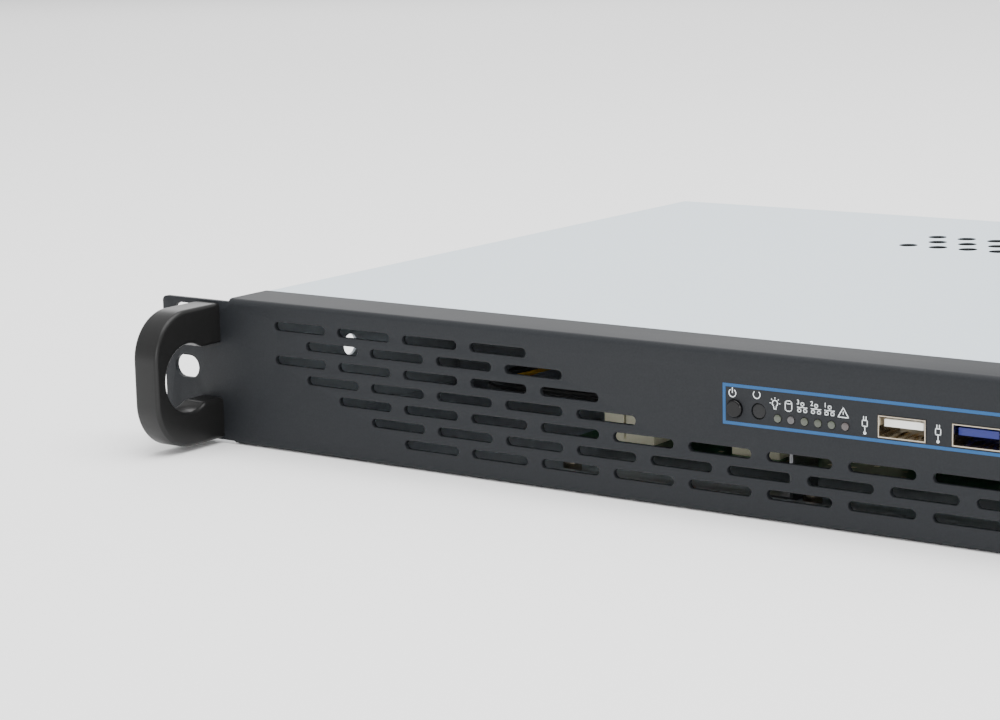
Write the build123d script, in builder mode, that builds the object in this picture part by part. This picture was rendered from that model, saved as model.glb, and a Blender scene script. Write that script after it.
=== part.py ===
from build123d import *
import math
import os

# Network firewall appliance, 1U high, for a 19-inch rack.
# Millimetres. X runs across the front (+X to the right when facing the front panel),
# Y runs from the front panel (-Y) to the rear panel (+Y), Z is up and z = 0 is the underside.

# ------------------------------------------------------------------ driving dimensions
overall_width = 482.6
body_width = 430.0
body_depth = 250.0
body_height = 43.6
front_sheet = 1.5
sheet = 1.2
fit_gap = 0.1          # between fixed sheet-metal faces
slide_gap = 0.2        # between the cover and what it slides on
bend_radius = 1.6

# Front panel
top_flange = 17.0
bottom_flange = 12.0
ear_top_step = 1.0
ear_bottom_step = 0.8
ear_corner_radius = 1.5
rack_hole_spacing = 465.1
rack_hole_pitch = 15.875
rack_slot_length = 9.5
rack_slot_height = 6.8
vent_length = 19.0
vent_height = 2.65
vent_pitch = 23.5
vent_row_pitch = 5.0
vent_top_row_below_top = 6.7

# Handles
handle_reach = 27.8
handle_thickness = 9.2
handle_inset = 3.7     # from the body's side to the handle's inner face
handle_height = 40.6
handle_corner_radius = 14.0
handle_edge_radius = 1.2
finger_hole_radius = 10.1
finger_slot_height = 16.5
finger_hole_reach = 13.4
finger_neck_radius = 3.0
handle_screw_radius = 2.0
handle_screw_depth = 11.0
screw_clearance = 0.2

# Controls and ports on the front, measured from the middle of the panel
control_height = 28.4
power_x = -42.4
power_radius = 2.3
reset_x = -35.3
reset_radius = 2.0
button_clearance = 0.15
button_travel = 1.0
power_proud = 0.7
reset_recess = 0.2
led_start_x = -29.7
led_pitch = 3.88
led_count = 6
led_height = 27.1
led_radius = 1.0
usb_width = 13.1
usb_height = 5.7
usb_depth = 14.0
usb_wall = 0.35
usb_centre_z = 28.25
usb2_x = 5.45
usb3_x = 25.65

# Front I/O board and its bracket
io_board_left = -52.0
io_board_width = 92.0
io_board_depth = 32.0
io_board_setback = 4.0
board_thickness = 1.6
boss_height = 1.9
bracket_sheet = 1.0
foot_length = 8.0

# Cover
cover_lip = 10.0
cover_joint_gap = 0.2  # between the front flange's edge and the cover
tongue_width = 200.0
tongue_reach = 8.0
tongue_sheet = 0.8
vent_hole_radius = 3.0
vent_hole_pitch = 10.5
vent_hole_count = 18
vent_hole_row_pitch = 10.3
vent_field_behind_front = 196.9
tab_width = 22.0
tab_height = 10.5
tab_x = 108.0
thumbscrew_shank_radius = 1.5
thumbscrew_head_radius = 4.5
thumbscrew_head_length = 6.0

# Tray
tray_lip = 6.0
side_hole_radius = 3.25
side_hole_front = 52.5
side_hole_rear = 197.5

# Main board
board_left = -115.0
board_width = 203.0
board_depth = 212.0
board_behind_front = 32.0
standoff_height = 4.0
standoff_radius = 2.6
standoff_side_inset = 6.0
standoff_front_inset = 20.0
standoff_rear_inset = 30.0

# Processor cooler
cooler_x = 1.0
cooler_behind_front = 84.0
cooler_size = 62.0
cooler_height = 18.0
cooler_base = 3.0
fin_count = 17
chipset_size = 32.0
chipset_left = 48.0
chipset_behind_front = 113.0
chipset_base = 3.0
chipset_height = 11.0
chipset_fins = 9
coin_x = 70.0
coin_behind_front = 63.0
memory_behind_front = (119.0, 161.0)
capacitor_radius = 3.4
capacitor_height = 9.0
fin_thickness = 1.2
cpu_size = 38.0
cpu_height = 2.0
cpu_fan_size = 60.0
cpu_fan_height = 10.0

# Rear ports
jack_width = 15.9
jack_height = 13.3
jack_length = 21.0
jack_mouth_width = 11.7
jack_mouth_height = 7.0
jack_mouth_depth = 12.0
jack_pitch = 16.6
console_x = -48.0
first_jack_x = -26.0
jack_proud = 0.4
stack_x = 30.0
stack_width = 13.2
stack_height = 15.6
stack_length = 17.5

# Power supply
psu_left = -205.0
psu_width = 81.5
psu_length = 150.0
psu_height = 40.2
psu_sheet = 0.8
psu_fan_size = 38.0
psu_fan_depth = 20.0
inlet_width = 27.0
inlet_height = 19.6
inlet_x_from_left = 19.0
inlet_z = 14.6
rocker_z = 33.0
rocker_width = 16.0
rocker_height = 9.6
rocker_tilt = 8.0
rocker_clearance = 0.6

# Case fans
fan_size = 40.0
fan_depth = 20.0
fan_left_x = 140.0
fan_right_x = 185.0
fan_wall = 1.0
rotor_gap = 0.6

# Storage drive
drive_width = 69.85
drive_length = 100.0
drive_height = 7.0
drive_left = 112.0
drive_behind_front = 22.0
drive_lift = 3.0

# Cables
power_cable_radius = 2.5
wire_radius = 0.7
wire_count = 4

# ------------------------------------------------------------------ derived places
left_x = -body_width / 2
right_x = body_width / 2
front_y = -body_depth / 2
back_y = body_depth / 2
panel_back_y = front_y + front_sheet
rear_y = back_y - sheet - slide_gap            # outer face of the rear panel
rear_inner_y = rear_y - sheet
cover_bottom = body_height - sheet
tray_top = body_height - front_sheet - fit_gap
tray_half = body_width / 2 - sheet - slide_gap
tray_inner_half = tray_half - sheet
tray_front_y = front_y + bottom_flange + fit_gap
tray_back_y = rear_inner_y - fit_gap
joggle_low = front_sheet + fit_gap
floor_top = sheet
ear_bottom = ear_bottom_step
ear_top = body_height - ear_top_step
rack_centre_z = body_height / 2
handle_x = body_width / 2 + handle_inset       # inner face of each handle
handle_mid_z = (ear_bottom + ear_top) / 2
foot_height = (handle_height - finger_slot_height) / 2
handle_screw_dz = finger_slot_height / 2 + foot_height / 2
board_bottom = floor_top + standoff_height
board_top = board_bottom + board_thickness
board_right = board_left + board_width
board_front = front_y + board_behind_front
board_back = board_front + board_depth
cooler_y = board_front + cooler_behind_front
io_top = usb_centre_z - usb_height / 2
io_bottom = io_top - board_thickness
io_front = front_y + io_board_setback
io_back = io_front + io_board_depth
io_right = io_board_left + io_board_width
shelf_top = io_bottom - boss_height
shelf_bottom = shelf_top - bracket_sheet
psu_right = psu_left + psu_width
psu_back = rear_inner_y - fit_gap
psu_front = psu_back - psu_length
psu_bottom = floor_top
psu_top = psu_bottom + psu_height
inlet_x = psu_left + inlet_x_from_left
psu_fan_x = psu_right - psu_sheet - 0.5 - psu_fan_size / 2
psu_fan_z = psu_bottom + psu_sheet + 0.3 + psu_fan_size / 2
fan_z = floor_top + 0.2 + fan_size / 2
jack_mouth_y = rear_y + jack_proud
jack_centre_z = board_top + 1.6 + jack_mouth_height / 2
tongue_top = tray_top - fit_gap
tongue_bottom = tongue_top - tongue_sheet
rear_panel_top = tray_top
tongue_notch_z = tongue_bottom - slide_gap
cooler_bottom = board_top + cpu_height
cooler_top = cooler_bottom + cooler_height

CENTRE = (Align.CENTER, Align.CENTER, Align.CENTER)
UP = (Align.CENTER, Align.CENTER, Align.MIN)
DOWN = (Align.CENTER, Align.CENTER, Align.MAX)

os.makedirs("parts", exist_ok=True)


# ------------------------------------------------------------------ helpers
def save(builder, name):
    """Label a finished sub-part and write its STEP file."""
    builder.part.label = name
    export_step(builder.part, f"parts/{name}.step")


def block(x0, x1, y0, y1, z0, z1, mode=Mode.ADD):
    """A box between two corners, in the active part."""
    with Locations(((x0 + x1) / 2, (y0 + y1) / 2, (z0 + z1) / 2)):
        Box(x1 - x0, y1 - y0, z1 - z0, mode=mode)


def rod_x(y, z, radius, x0, x1, mode=Mode.ADD):
    """A cylinder along X."""
    with Locations(Location(((x0 + x1) / 2, y, z), (0, 90, 0))):
        Cylinder(radius, x1 - x0, mode=mode)


def rod_y(x, z, radius, y0, y1, mode=Mode.ADD):
    """A cylinder along Y."""
    with Locations(Location((x, (y0 + y1) / 2, z), (90, 0, 0))):
        Cylinder(radius, y1 - y0, mode=mode)


def rod_z(x, y, radius, z0, z1, mode=Mode.ADD):
    """A cylinder along Z."""
    with Locations((x, y, (z0 + z1) / 2)):
        Cylinder(radius, z1 - z0, mode=mode)


def facing_y(y):
    """A sketch plane at depth y, seen from the front: local x is X and local y is Z."""
    return Plane.XZ.offset(-y)


def pan_screw(head_radius, head_height, shank_radius, length):
    """A cross-recess screw at the active locations, its head towards local +Z."""
    Cylinder(head_radius, head_height, align=UP)
    Cylinder(shank_radius, length, align=DOWN)
    with Locations((0, 0, head_height)):
        Box(head_radius * 1.2, head_radius * 0.3, head_height, align=CENTRE, mode=Mode.SUBTRACT)
        Box(head_radius * 0.3, head_radius * 1.2, head_height, align=CENTRE, mode=Mode.SUBTRACT)


def rotor_shape(hub_radius, tip_radius, height, blade_count, pitch):
    """A fan rotor about the local Z axis, standing on the local XY plane."""
    with Locations((0, 0, height / 2)):
        blade_length = tip_radius - hub_radius + 2.0
        for index in range(blade_count):
            with Locations(Location((0, 0, 0), (0, 0, 360 / blade_count * index))):
                with Locations(Location((tip_radius - blade_length / 2 + 1.0, 0, 0), (pitch, 0, 0))):
                    Box(blade_length, height / math.sin(math.radians(pitch)) * 0.95, 0.9)
        Cylinder(tip_radius, height, mode=Mode.INTERSECT)
        Cylinder(hub_radius, height)


def fan_frame_shape(size, depth, wall, base_height):
    """A square fan frame about the local Z axis with a motor base on three spokes."""
    hole_inset = size * 0.1
    with Locations((0, 0, depth / 2)):
        Box(size, size, depth)
        Cylinder(size / 2 - wall, depth, mode=Mode.SUBTRACT)
    with Locations((0, 0, 0)):
        Cylinder(size * 0.25, base_height, align=UP)
        for index in range(3):
            with Locations(Location((0, 0, 0), (0, 0, 120 * index + 30))):
                with Locations((size * 0.36, 0, 0)):
                    Box(size * 0.25, 2.0, base_height, align=UP)
    with GridLocations(size - 2 * hole_inset, size - 2 * hole_inset, 2, 2):
        Cylinder(size * 0.045, depth, align=UP, mode=Mode.SUBTRACT)


def grille_rings(x, z, outer_radius):
    """Finger-guard openings on the active sketch: three rings cut by spokes."""
    ring_step = outer_radius / 4
    with Locations((x, z)):
        for index in range(3):
            Circle(outer_radius - index * ring_step)
            Circle(outer_radius - index * ring_step - ring_step * 0.62, mode=Mode.SUBTRACT)
        Rectangle(outer_radius * 2, 2.0, rotation=45, mode=Mode.SUBTRACT)
        Rectangle(outer_radius * 2, 2.0, rotation=-45, mode=Mode.SUBTRACT)


def bend_radii(points, smallest):
    """The largest tangent arcs that a route's runs allow, one for each corner."""
    radii = []
    for before, corner, after in zip(points, points[1:], points[2:]):
        run_in = Vector(*corner) - Vector(*before)
        run_out = Vector(*after) - Vector(*corner)
        half_turn = math.radians(run_in.get_angle(run_out)) / 2
        radii.append(0.45 * min(run_in.length, run_out.length) / math.tan(half_turn))
    print("bend radii", [round(radius, 1) for radius in radii], "smallest wanted", smallest)
    return radii


# ------------------------------------------------------------------ front panel
def vent_columns():
    """Rows of vent slots, top row first, each as a list of column numbers."""
    upper = [[0, 1, 2, 3], [0.5, 1.5, 2.5, 3.5], [0, 1, 2, 3, 4], [0.5, 1.5, 2.5, 3.5, 4.5]]
    rows = [row + [16 - column for column in row] for row in upper]
    rows.append([1 + index for index in range(15)])
    rows.append([1.5 + index for index in range(14)])
    rows.append([2 + index for index in range(13)])
    return rows


vent_points = []
for row_index, row in enumerate(vent_columns()):
    for column in row:
        vent_points.append(((column - 8) * vent_pitch,
                            body_height - vent_top_row_below_top - row_index * vent_row_pitch))

rack_points = []
for side in (-1, 1):
    for step in (-1, 0, 1):
        rack_points.append((side * rack_hole_spacing / 2, rack_centre_z + step * rack_hole_pitch))

handle_mid_x = handle_x + handle_thickness / 2
handle_screw_points = []
for side in (-1, 1):
    for step in (-1, 1):
        handle_screw_points.append((side * handle_mid_x, handle_mid_z + step * handle_screw_dz))

led_points = [(led_start_x + index * led_pitch, led_height) for index in range(led_count)]
flange_screw_y = front_y + bottom_flange * 0.55
flange_screw_x = [-170.0, -60.0, 60.0, 170.0]

with BuildPart() as front_panel:
    with BuildSketch(Plane.YZ.offset(left_x)):
        with Locations((front_y + top_flange / 2, body_height / 2)):
            Rectangle(top_flange, body_height)
        with Locations((panel_back_y + top_flange / 2, body_height / 2)):
            Rectangle(top_flange, body_height - 2 * front_sheet, mode=Mode.SUBTRACT)
        with Locations((front_y + bottom_flange + top_flange / 2, front_sheet / 2)):
            Rectangle(top_flange, front_sheet + 0.2, mode=Mode.SUBTRACT)
    extrude(amount=body_width)
    outer_bends = front_panel.edges().filter_by(Axis.X).group_by(Axis.Y)[0]
    fillet(outer_bends, radius=bend_radius)
    with BuildSketch(facing_y(front_y)):
        with Locations((0, (ear_bottom + ear_top) / 2)):
            RectangleRounded(overall_width, ear_top - ear_bottom, ear_corner_radius)
        Rectangle(body_width - 2 * bend_radius, 3 * body_height, mode=Mode.SUBTRACT)
    extrude(amount=-front_sheet)
    with BuildSketch(facing_y(front_y)):
        with Locations(*vent_points):
            SlotOverall(vent_length, vent_height)
        with Locations(*rack_points):
            SlotOverall(rack_slot_length, rack_slot_height)
        with Locations(*handle_screw_points):
            Circle(handle_screw_radius + screw_clearance)
        with Locations((power_x, control_height)):
            Circle(power_radius + button_clearance)
        with Locations((reset_x, control_height)):
            Circle(reset_radius + button_clearance)
        with Locations(*led_points):
            Circle(led_radius + button_clearance)
        with Locations((usb2_x, usb_centre_z), (usb3_x, usb_centre_z)):
            Rectangle(usb_width + 2 * fit_gap, usb_height + 2 * fit_gap)
    extrude(amount=-front_sheet, mode=Mode.SUBTRACT)
    for x in flange_screw_x:
        with Locations(Location((x, flange_screw_y, 0), (180, 0, 0))):
            CounterSinkHole(1.6, 3.1, depth=front_sheet + 0.2)
save(front_panel, "front_panel")

with BuildPart() as flange_screws:
    for x in flange_screw_x:
        rod_z(x, flange_screw_y, 1.45, 0.5, joggle_low + sheet + 1.5)
        with Locations((x, flange_screw_y, 0.05)):
            Cone(2.8, 1.45, 1.2, align=UP)
save(flange_screws, "flange_screws")


# ------------------------------------------------------------------ handles
def handle(side):
    """One D-shaped pull handle, side -1 on the left ear and +1 on the right one."""
    inner_x = side * handle_x
    low_x = min(inner_x, inner_x + side * handle_thickness)
    tip_y = front_y - handle_reach
    hole_y = front_y - finger_hole_reach
    with BuildPart() as piece:
        with BuildSketch(Plane.YZ.offset(low_x)) as outline:
            with Locations(((front_y + tip_y) / 2, handle_mid_z)):
                Rectangle(handle_reach, handle_height)
            fillet(outline.vertices().group_by(Axis.X)[0], radius=handle_corner_radius)
            with Locations((hole_y, handle_mid_z)):
                Circle(finger_hole_radius, mode=Mode.SUBTRACT)
            with Locations(((hole_y + front_y) / 2, handle_mid_z)):
                Rectangle(front_y - hole_y, finger_slot_height, mode=Mode.SUBTRACT)
            meeting_y = hole_y + math.sqrt(finger_hole_radius ** 2 - (finger_slot_height / 2) ** 2)
            necks = outline.vertices().filter_by(lambda vertex: abs(vertex.X - meeting_y) < 0.1)
            fillet(necks, radius=finger_neck_radius)
        extrude(amount=handle_thickness)
        rims = piece.faces().filter_by(Axis.X).edges()
        rims = rims.filter_by(lambda edge: edge.center().Y < front_y - 0.5)
        fillet(rims, radius=handle_edge_radius)
        for step in (-1, 1):
            rod_y(side * handle_mid_x, handle_mid_z + step * handle_screw_dz,
                  handle_screw_radius + screw_clearance / 2,
                  front_y - handle_screw_depth, front_y, mode=Mode.SUBTRACT)
    return piece


handle_left = handle(-1)
save(handle_left, "handle_left")
handle_right = handle(1)
save(handle_right, "handle_right")

with BuildPart() as handle_screws:
    for x, z in handle_screw_points:
        with Locations(Location((x, panel_back_y, z), (-90, 0, 0))):
            pan_screw(3.4, 2.2, handle_screw_radius, front_sheet + handle_screw_depth - 1.0)
save(handle_screws, "handle_screws")

# ------------------------------------------------------------------ front controls
button_flange_y = panel_back_y + 0.3
stem_end_y = front_y + 6.0
switch_front_y = stem_end_y + button_travel + 0.3
switch_size = 6.0

with BuildPart() as power_button:
    rod_y(power_x, control_height, power_radius, front_y - power_proud, button_flange_y)
    front_rim = power_button.edges().filter_by(GeomType.CIRCLE).sort_by(Axis.Y)[0]
    fillet(front_rim, radius=0.5)
    rod_y(power_x, control_height, power_radius + 0.7, button_flange_y, button_flange_y + 1.0)
    rod_y(power_x, control_height, 1.2, button_flange_y, stem_end_y)
save(power_button, "power_button")

with BuildPart() as reset_button:
    rod_y(reset_x, control_height, reset_radius, front_y + reset_recess, button_flange_y)
    front_rim = reset_button.edges().filter_by(GeomType.CIRCLE).sort_by(Axis.Y)[0]
    fillet(front_rim, radius=0.3)
    rod_y(reset_x, control_height, reset_radius + 0.7, button_flange_y, button_flange_y + 1.0)
    rod_y(reset_x, control_height, 1.2, button_flange_y, stem_end_y)
save(reset_button, "reset_button")

with BuildPart() as front_switches:
    for x in (power_x, reset_x):
        half = switch_size / 2
        block(x - half, x + half, switch_front_y, switch_front_y + 4.0, io_top, io_top + switch_size)
        rod_y(x, control_height, 1.6, switch_front_y + 4.0, switch_front_y + 4.6)
save(front_switches, "front_switches")

pipe_back_y = front_y + 5.0
with BuildPart() as light_pipes:
    for x, z in led_points:
        rod_y(x, z, led_radius, front_y - 0.15, pipe_back_y)
save(light_pipes, "light_pipes")

with BuildPart() as front_leds:
    for x, z in led_points:
        block(x - 1.3, x + 1.3, pipe_back_y + 0.2, pipe_back_y + 2.4, io_top, z + 1.4)
        rod_y(x, z, 0.9, pipe_back_y + 0.1, pipe_back_y + 0.2)
save(front_leds, "front_leds")

usb_front_y = front_y - 0.2
usb_back_y = usb_front_y + usb_depth


def usb_shell(x):
    """A front USB port's metal shell: a tube with a closed back."""
    half = usb_width / 2
    low = usb_centre_z - usb_height / 2
    high = usb_centre_z + usb_height / 2
    with BuildPart() as shell:
        block(x - half, x + half, usb_front_y, usb_back_y, low, high)
        block(x - half + usb_wall, x + half - usb_wall, usb_front_y, usb_back_y - usb_wall,
              low + usb_wall, high - usb_wall, mode=Mode.SUBTRACT)
    return shell


def usb_tongue(x):
    """The moulded tongue inside a front USB port, with its rear block."""
    half = usb_width / 2 - usb_wall - fit_gap
    low = usb_centre_z - usb_height / 2 + usb_wall + fit_gap
    high = usb_centre_z + usb_height / 2 - usb_wall - fit_gap
    inner_back = usb_back_y - usb_wall - fit_gap
    with BuildPart() as tongue:
        block(x - half, x + half, inner_back - 2.5, inner_back, low, high)
        block(x - 5.4, x + 5.4, usb_front_y + 1.2, inner_back - 2.5,
              usb_centre_z - 0.1, usb_centre_z + 1.8)
    return tongue


usb2_shell = usb_shell(usb2_x)
save(usb2_shell, "usb2_shell")
usb3_shell = usb_shell(usb3_x)
save(usb3_shell, "usb3_shell")
usb2_tongue = usb_tongue(usb2_x)
save(usb2_tongue, "usb2_tongue")
usb3_tongue = usb_tongue(usb3_x)
save(usb3_tongue, "usb3_tongue")

io_screw_points = []
for x in (io_board_left + 4.0, io_right - 4.0):
    for y in (io_front + 15.0, io_back - 4.0):
        io_screw_points.append((x, y))

with BuildPart() as front_io_board:
    block(io_board_left, io_right, io_front, io_back, io_bottom, io_top)
    for x, y in io_screw_points:
        rod_z(x, y, 1.5, io_bottom, io_top, mode=Mode.SUBTRACT)
    block(io_board_left + 0.5, io_board_left + 5.0, io_back - 14.5, io_back - 6.5, io_top, io_top + 5.0)
    block(-20.0, -6.0, io_back - 18.0, io_back - 8.0, io_top, io_top + 1.2)
    block(10.0, 22.0, io_back - 10.0, io_back - 3.0, io_top, io_top + 3.5)
save(front_io_board, "front_io_board")

shelf_left = io_board_left - 2.0
leg_left = io_board_left + 16.0
leg_right = io_right + 2.0
leg_front = io_front + 13.0
leg_back = board_front - 1.5
bracket_foot_points = []
for x in (leg_left - foot_length / 2, leg_right + foot_length / 2):
    bracket_foot_points.append((x, (leg_front + leg_back) / 2))

with BuildPart() as front_io_bracket:
    block(shelf_left, leg_right, io_front + 6.0, io_back, shelf_bottom, shelf_top)
    block(leg_left, leg_left + bracket_sheet, leg_front, leg_back, floor_top, shelf_top)
    block(leg_right - bracket_sheet, leg_right, leg_front, leg_back, floor_top, shelf_top)
    block(leg_left - foot_length, leg_left + bracket_sheet, leg_front, leg_back,
          floor_top, floor_top + bracket_sheet)
    block(leg_right - bracket_sheet, leg_right + foot_length, leg_front, leg_back,
          floor_top, floor_top + bracket_sheet)
    for x, y in io_screw_points:
        rod_z(x, y, 2.6, shelf_bottom, io_bottom)
        rod_z(x, y, 1.4, shelf_bottom, io_bottom, mode=Mode.SUBTRACT)
    for x, y in bracket_foot_points:
        rod_z(x, y, 1.7, 0, floor_top + bracket_sheet, mode=Mode.SUBTRACT)
save(front_io_bracket, "front_io_bracket")

with BuildPart() as front_io_screws:
    for x, y in io_screw_points:
        with Locations((x, y, io_top)):
            pan_screw(2.3, 1.6, 1.2, board_thickness + boss_height)
    for x, y in bracket_foot_points:
        with Locations((x, y, floor_top + bracket_sheet)):
            pan_screw(2.8, 1.8, 1.4, bracket_sheet + sheet - 0.3)
save(front_io_screws, "front_io_screws")

# ------------------------------------------------------------------ chassis tray
standoff_points = []
standoff_xs = (board_left + standoff_side_inset, (board_left + board_right) / 2,
               board_right - standoff_side_inset)
standoff_ys = (board_front + standoff_front_inset, (board_front + board_back) / 2,
               board_back - standoff_rear_inset)
for x in standoff_xs:
    for y in standoff_ys:
        standoff_points.append((x, y))
spare_standoff_points = [(-106.0, front_y + 18.5), (-30.0, front_y + 18.5)]

with BuildPart() as chassis_tray:
    block(-tray_half, tray_half, tray_front_y, tray_back_y, 0, floor_top)
    block(-tray_half, tray_half, tray_front_y, tray_front_y + sheet, 0, joggle_low + sheet)
    block(-tray_half, tray_half, front_y + 4.0, tray_front_y + sheet, joggle_low, joggle_low + sheet)
    for side in (-1, 1):
        outer = side * tray_half
        inner = side * tray_inner_half
        lip = side * (tray_half - tray_lip)
        block(min(outer, inner), max(outer, inner), tray_front_y, tray_back_y, 0, tray_top)
        block(min(outer, inner), max(outer, inner), panel_back_y + fit_gap, tray_front_y,
              joggle_low, tray_top)
        block(min(outer, lip), max(outer, lip), panel_back_y + fit_gap, tray_back_y,
              tray_top - sheet, tray_top)
        for y in (front_y + side_hole_front, front_y + side_hole_rear):
            rod_x(y, rack_centre_z, side_hole_radius, min(outer, inner), max(outer, inner),
                  mode=Mode.SUBTRACT)
    for x in flange_screw_x:
        rod_z(x, flange_screw_y, 1.6, 0, 5.0, mode=Mode.SUBTRACT)
    for x, y in bracket_foot_points:
        rod_z(x, y, 1.6, 0, floor_top, mode=Mode.SUBTRACT)
save(chassis_tray, "chassis_tray")

with BuildPart() as board_standoffs:
    for x, y in standoff_points:
        rod_z(x, y, standoff_radius, floor_top, board_bottom)
        rod_z(x, y, 1.45, floor_top, board_bottom, mode=Mode.SUBTRACT)
    for x, y in spare_standoff_points:
        rod_z(x, y, standoff_radius, floor_top, board_bottom)
        rod_z(x, y, 1.45, floor_top, board_bottom, mode=Mode.SUBTRACT)
save(board_standoffs, "board_standoffs")

# ------------------------------------------------------------------ rear panel
io_open_left = console_x - jack_width / 2 - 3.0
io_open_right = stack_x + stack_width / 2 + 3.0
io_open_low = board_top - 1.0
io_open_high = board_top + stack_height + 2.5
blank_left = 56.0
blank_right = 98.0
blank_low = 14.0
blank_high = 34.0
thumb_z = body_height - tab_height * 0.52
thumb_x = [-tab_x, tab_x]
lug_depth = 9.0
psu_open = (psu_left + 3.0, psu_right - 3.0, psu_bottom + 2.0, psu_top - 2.0)

with BuildPart() as rear_panel:
    with BuildSketch(facing_y(rear_inner_y)):
        with Locations((0, rear_panel_top / 2)):
            Rectangle(2 * tray_half, rear_panel_top)
        with Locations((0, rear_panel_top)):
            Rectangle(tongue_width + 6.0, 2 * (rear_panel_top - tongue_notch_z), mode=Mode.SUBTRACT)
        with Locations(((io_open_left + io_open_right) / 2, (io_open_low + io_open_high) / 2)):
            Rectangle(io_open_right - io_open_left, io_open_high - io_open_low, mode=Mode.SUBTRACT)
        with Locations(((blank_left + blank_right) / 2, (blank_low + blank_high) / 2)):
            Rectangle(blank_right - blank_left, blank_high - blank_low, mode=Mode.SUBTRACT)
        with Locations(((psu_open[0] + psu_open[1]) / 2, (psu_open[2] + psu_open[3]) / 2)):
            Rectangle(psu_open[1] - psu_open[0], psu_open[3] - psu_open[2], mode=Mode.SUBTRACT)
        with Locations(*[(x, thumb_z) for x in thumb_x]):
            Circle(thumbscrew_shank_radius + 0.3, mode=Mode.SUBTRACT)
    extrude(amount=-sheet)
    with BuildSketch(facing_y(rear_inner_y)):
        grille_rings(fan_left_x, fan_z, fan_size / 2 - 1.5)
        grille_rings(fan_right_x, fan_z, fan_size / 2 - 1.5)
    extrude(amount=-sheet, mode=Mode.SUBTRACT)
    for side in (-1, 1):
        lug_outer = side * (tray_inner_half - fit_gap)
        lug_inner = side * (tray_inner_half - fit_gap - sheet)
        block(min(lug_outer, lug_inner), max(lug_outer, lug_inner), rear_inner_y - lug_depth, rear_inner_y,
              floor_top + fit_gap, tray_top - sheet - fit_gap)
save(rear_panel, "rear_panel")

with BuildPart() as blank_plate:
    block(blank_left - 3.0, blank_right + 3.0, rear_inner_y - fit_gap - sheet, rear_inner_y - fit_gap,
          blank_low - 3.0, blank_high + 3.0)
    block(blank_left + 0.3, blank_right - 0.3, rear_inner_y - fit_gap, rear_y - 0.2,
          blank_low + 0.3, blank_high - 0.3)
save(blank_plate, "blank_plate")

jack_xs = [first_jack_x + index * jack_pitch for index in range(3)]
shield_gap = 0.25
shield_back = rear_inner_y - fit_gap
shield_sheet = 0.5

with BuildPart() as io_shield:
    block(io_open_left - 2.0, io_open_right + 2.0, shield_back - shield_sheet, shield_back,
          io_open_low - 1.5, io_open_high + 2.0)
    for x in [console_x] + jack_xs:
        half = jack_width / 2 + shield_gap
        block(x - half, x + half, shield_back - 1.0, shield_back + 1.0,
              board_top - shield_gap, board_top + jack_height + shield_gap, mode=Mode.SUBTRACT)
    half = stack_width / 2 + shield_gap
    block(stack_x - half, stack_x + half, shield_back - 1.0, shield_back + 1.0,
          board_top - shield_gap, board_top + stack_height + shield_gap, mode=Mode.SUBTRACT)
save(io_shield, "io_shield")


# ------------------------------------------------------------------ rear ports
def modular_jack(x):
    """A board-mounted modular jack whose mouth faces the rear."""
    half = jack_width / 2
    with BuildPart() as jack:
        block(x - half, x + half, jack_mouth_y - jack_length, jack_mouth_y,
              board_top, board_top + jack_height)
        half_mouth = jack_mouth_width / 2
        block(x - half_mouth, x + half_mouth, jack_mouth_y - jack_mouth_depth, jack_mouth_y,
              jack_centre_z - jack_mouth_height / 2, jack_centre_z + jack_mouth_height / 2,
              mode=Mode.SUBTRACT)
        block(x - 3.2, x + 3.2, jack_mouth_y - jack_mouth_depth * 0.7, jack_mouth_y,
              jack_centre_z, jack_centre_z + jack_mouth_height / 2 + 2.4, mode=Mode.SUBTRACT)
    return jack


console_jack = modular_jack(console_x)
save(console_jack, "console_jack")
for index, x in enumerate(jack_xs):
    lan_jack = modular_jack(x)
    save(lan_jack, f"lan_jack_{index + 1}")

stack_low = [board_top + 1.6, board_top + 9.2]
stack_cavity_height = 5.0
with BuildPart() as usb_stack:
    half = stack_width / 2
    block(stack_x - half, stack_x + half, jack_mouth_y - stack_length, jack_mouth_y,
          board_top, board_top + stack_height)
    for low in stack_low:
        block(stack_x - half + 0.5, stack_x + half - 0.5, jack_mouth_y - 11.0, jack_mouth_y,
              low, low + stack_cavity_height, mode=Mode.SUBTRACT)
save(usb_stack, "usb_stack")

with BuildPart() as usb_stack_tongues:
    for low in stack_low:
        block(stack_x - 5.4, stack_x + 5.4, jack_mouth_y - 10.9, jack_mouth_y - 1.2,
              low + 2.6, low + 4.4)
save(usb_stack_tongues, "usb_stack_tongues")

# ------------------------------------------------------------------ main board
with BuildPart() as main_board:
    block(board_left, board_right, board_front, board_back, board_bottom, board_top)
    for x, y in standoff_points:
        rod_z(x, y, 1.75, board_bottom, board_top, mode=Mode.SUBTRACT)
save(main_board, "main_board")

with BuildPart() as board_screws:
    for x, y in standoff_points:
        with Locations((x, y, board_top)):
            pan_screw(2.8, 1.8, 1.3, board_thickness + standoff_height - 0.6)
save(board_screws, "board_screws")

half_cooler = cooler_size / 2
with BuildPart() as cpu_heatsink:
    block(cooler_x - half_cooler, cooler_x + half_cooler, cooler_y - half_cooler, cooler_y + half_cooler,
          cooler_bottom, cooler_bottom + cooler_base)
    fin_step = (cooler_size - fin_thickness) / (fin_count - 1)
    for index in range(fin_count):
        x = cooler_x - half_cooler + index * fin_step
        block(x, x + fin_thickness, cooler_y - half_cooler, cooler_y + half_cooler,
              cooler_bottom + cooler_base, cooler_top)
save(cpu_heatsink, "cpu_heatsink")

cpu_fan_bottom = cooler_top + fit_gap
cpu_base_height = 2.0
with BuildPart(Plane.XY.move(Location((cooler_x, cooler_y, cpu_fan_bottom)))) as cpu_fan_frame:
    fan_frame_shape(cpu_fan_size, cpu_fan_height, fan_wall, cpu_base_height)
save(cpu_fan_frame, "cpu_fan_frame")

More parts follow.
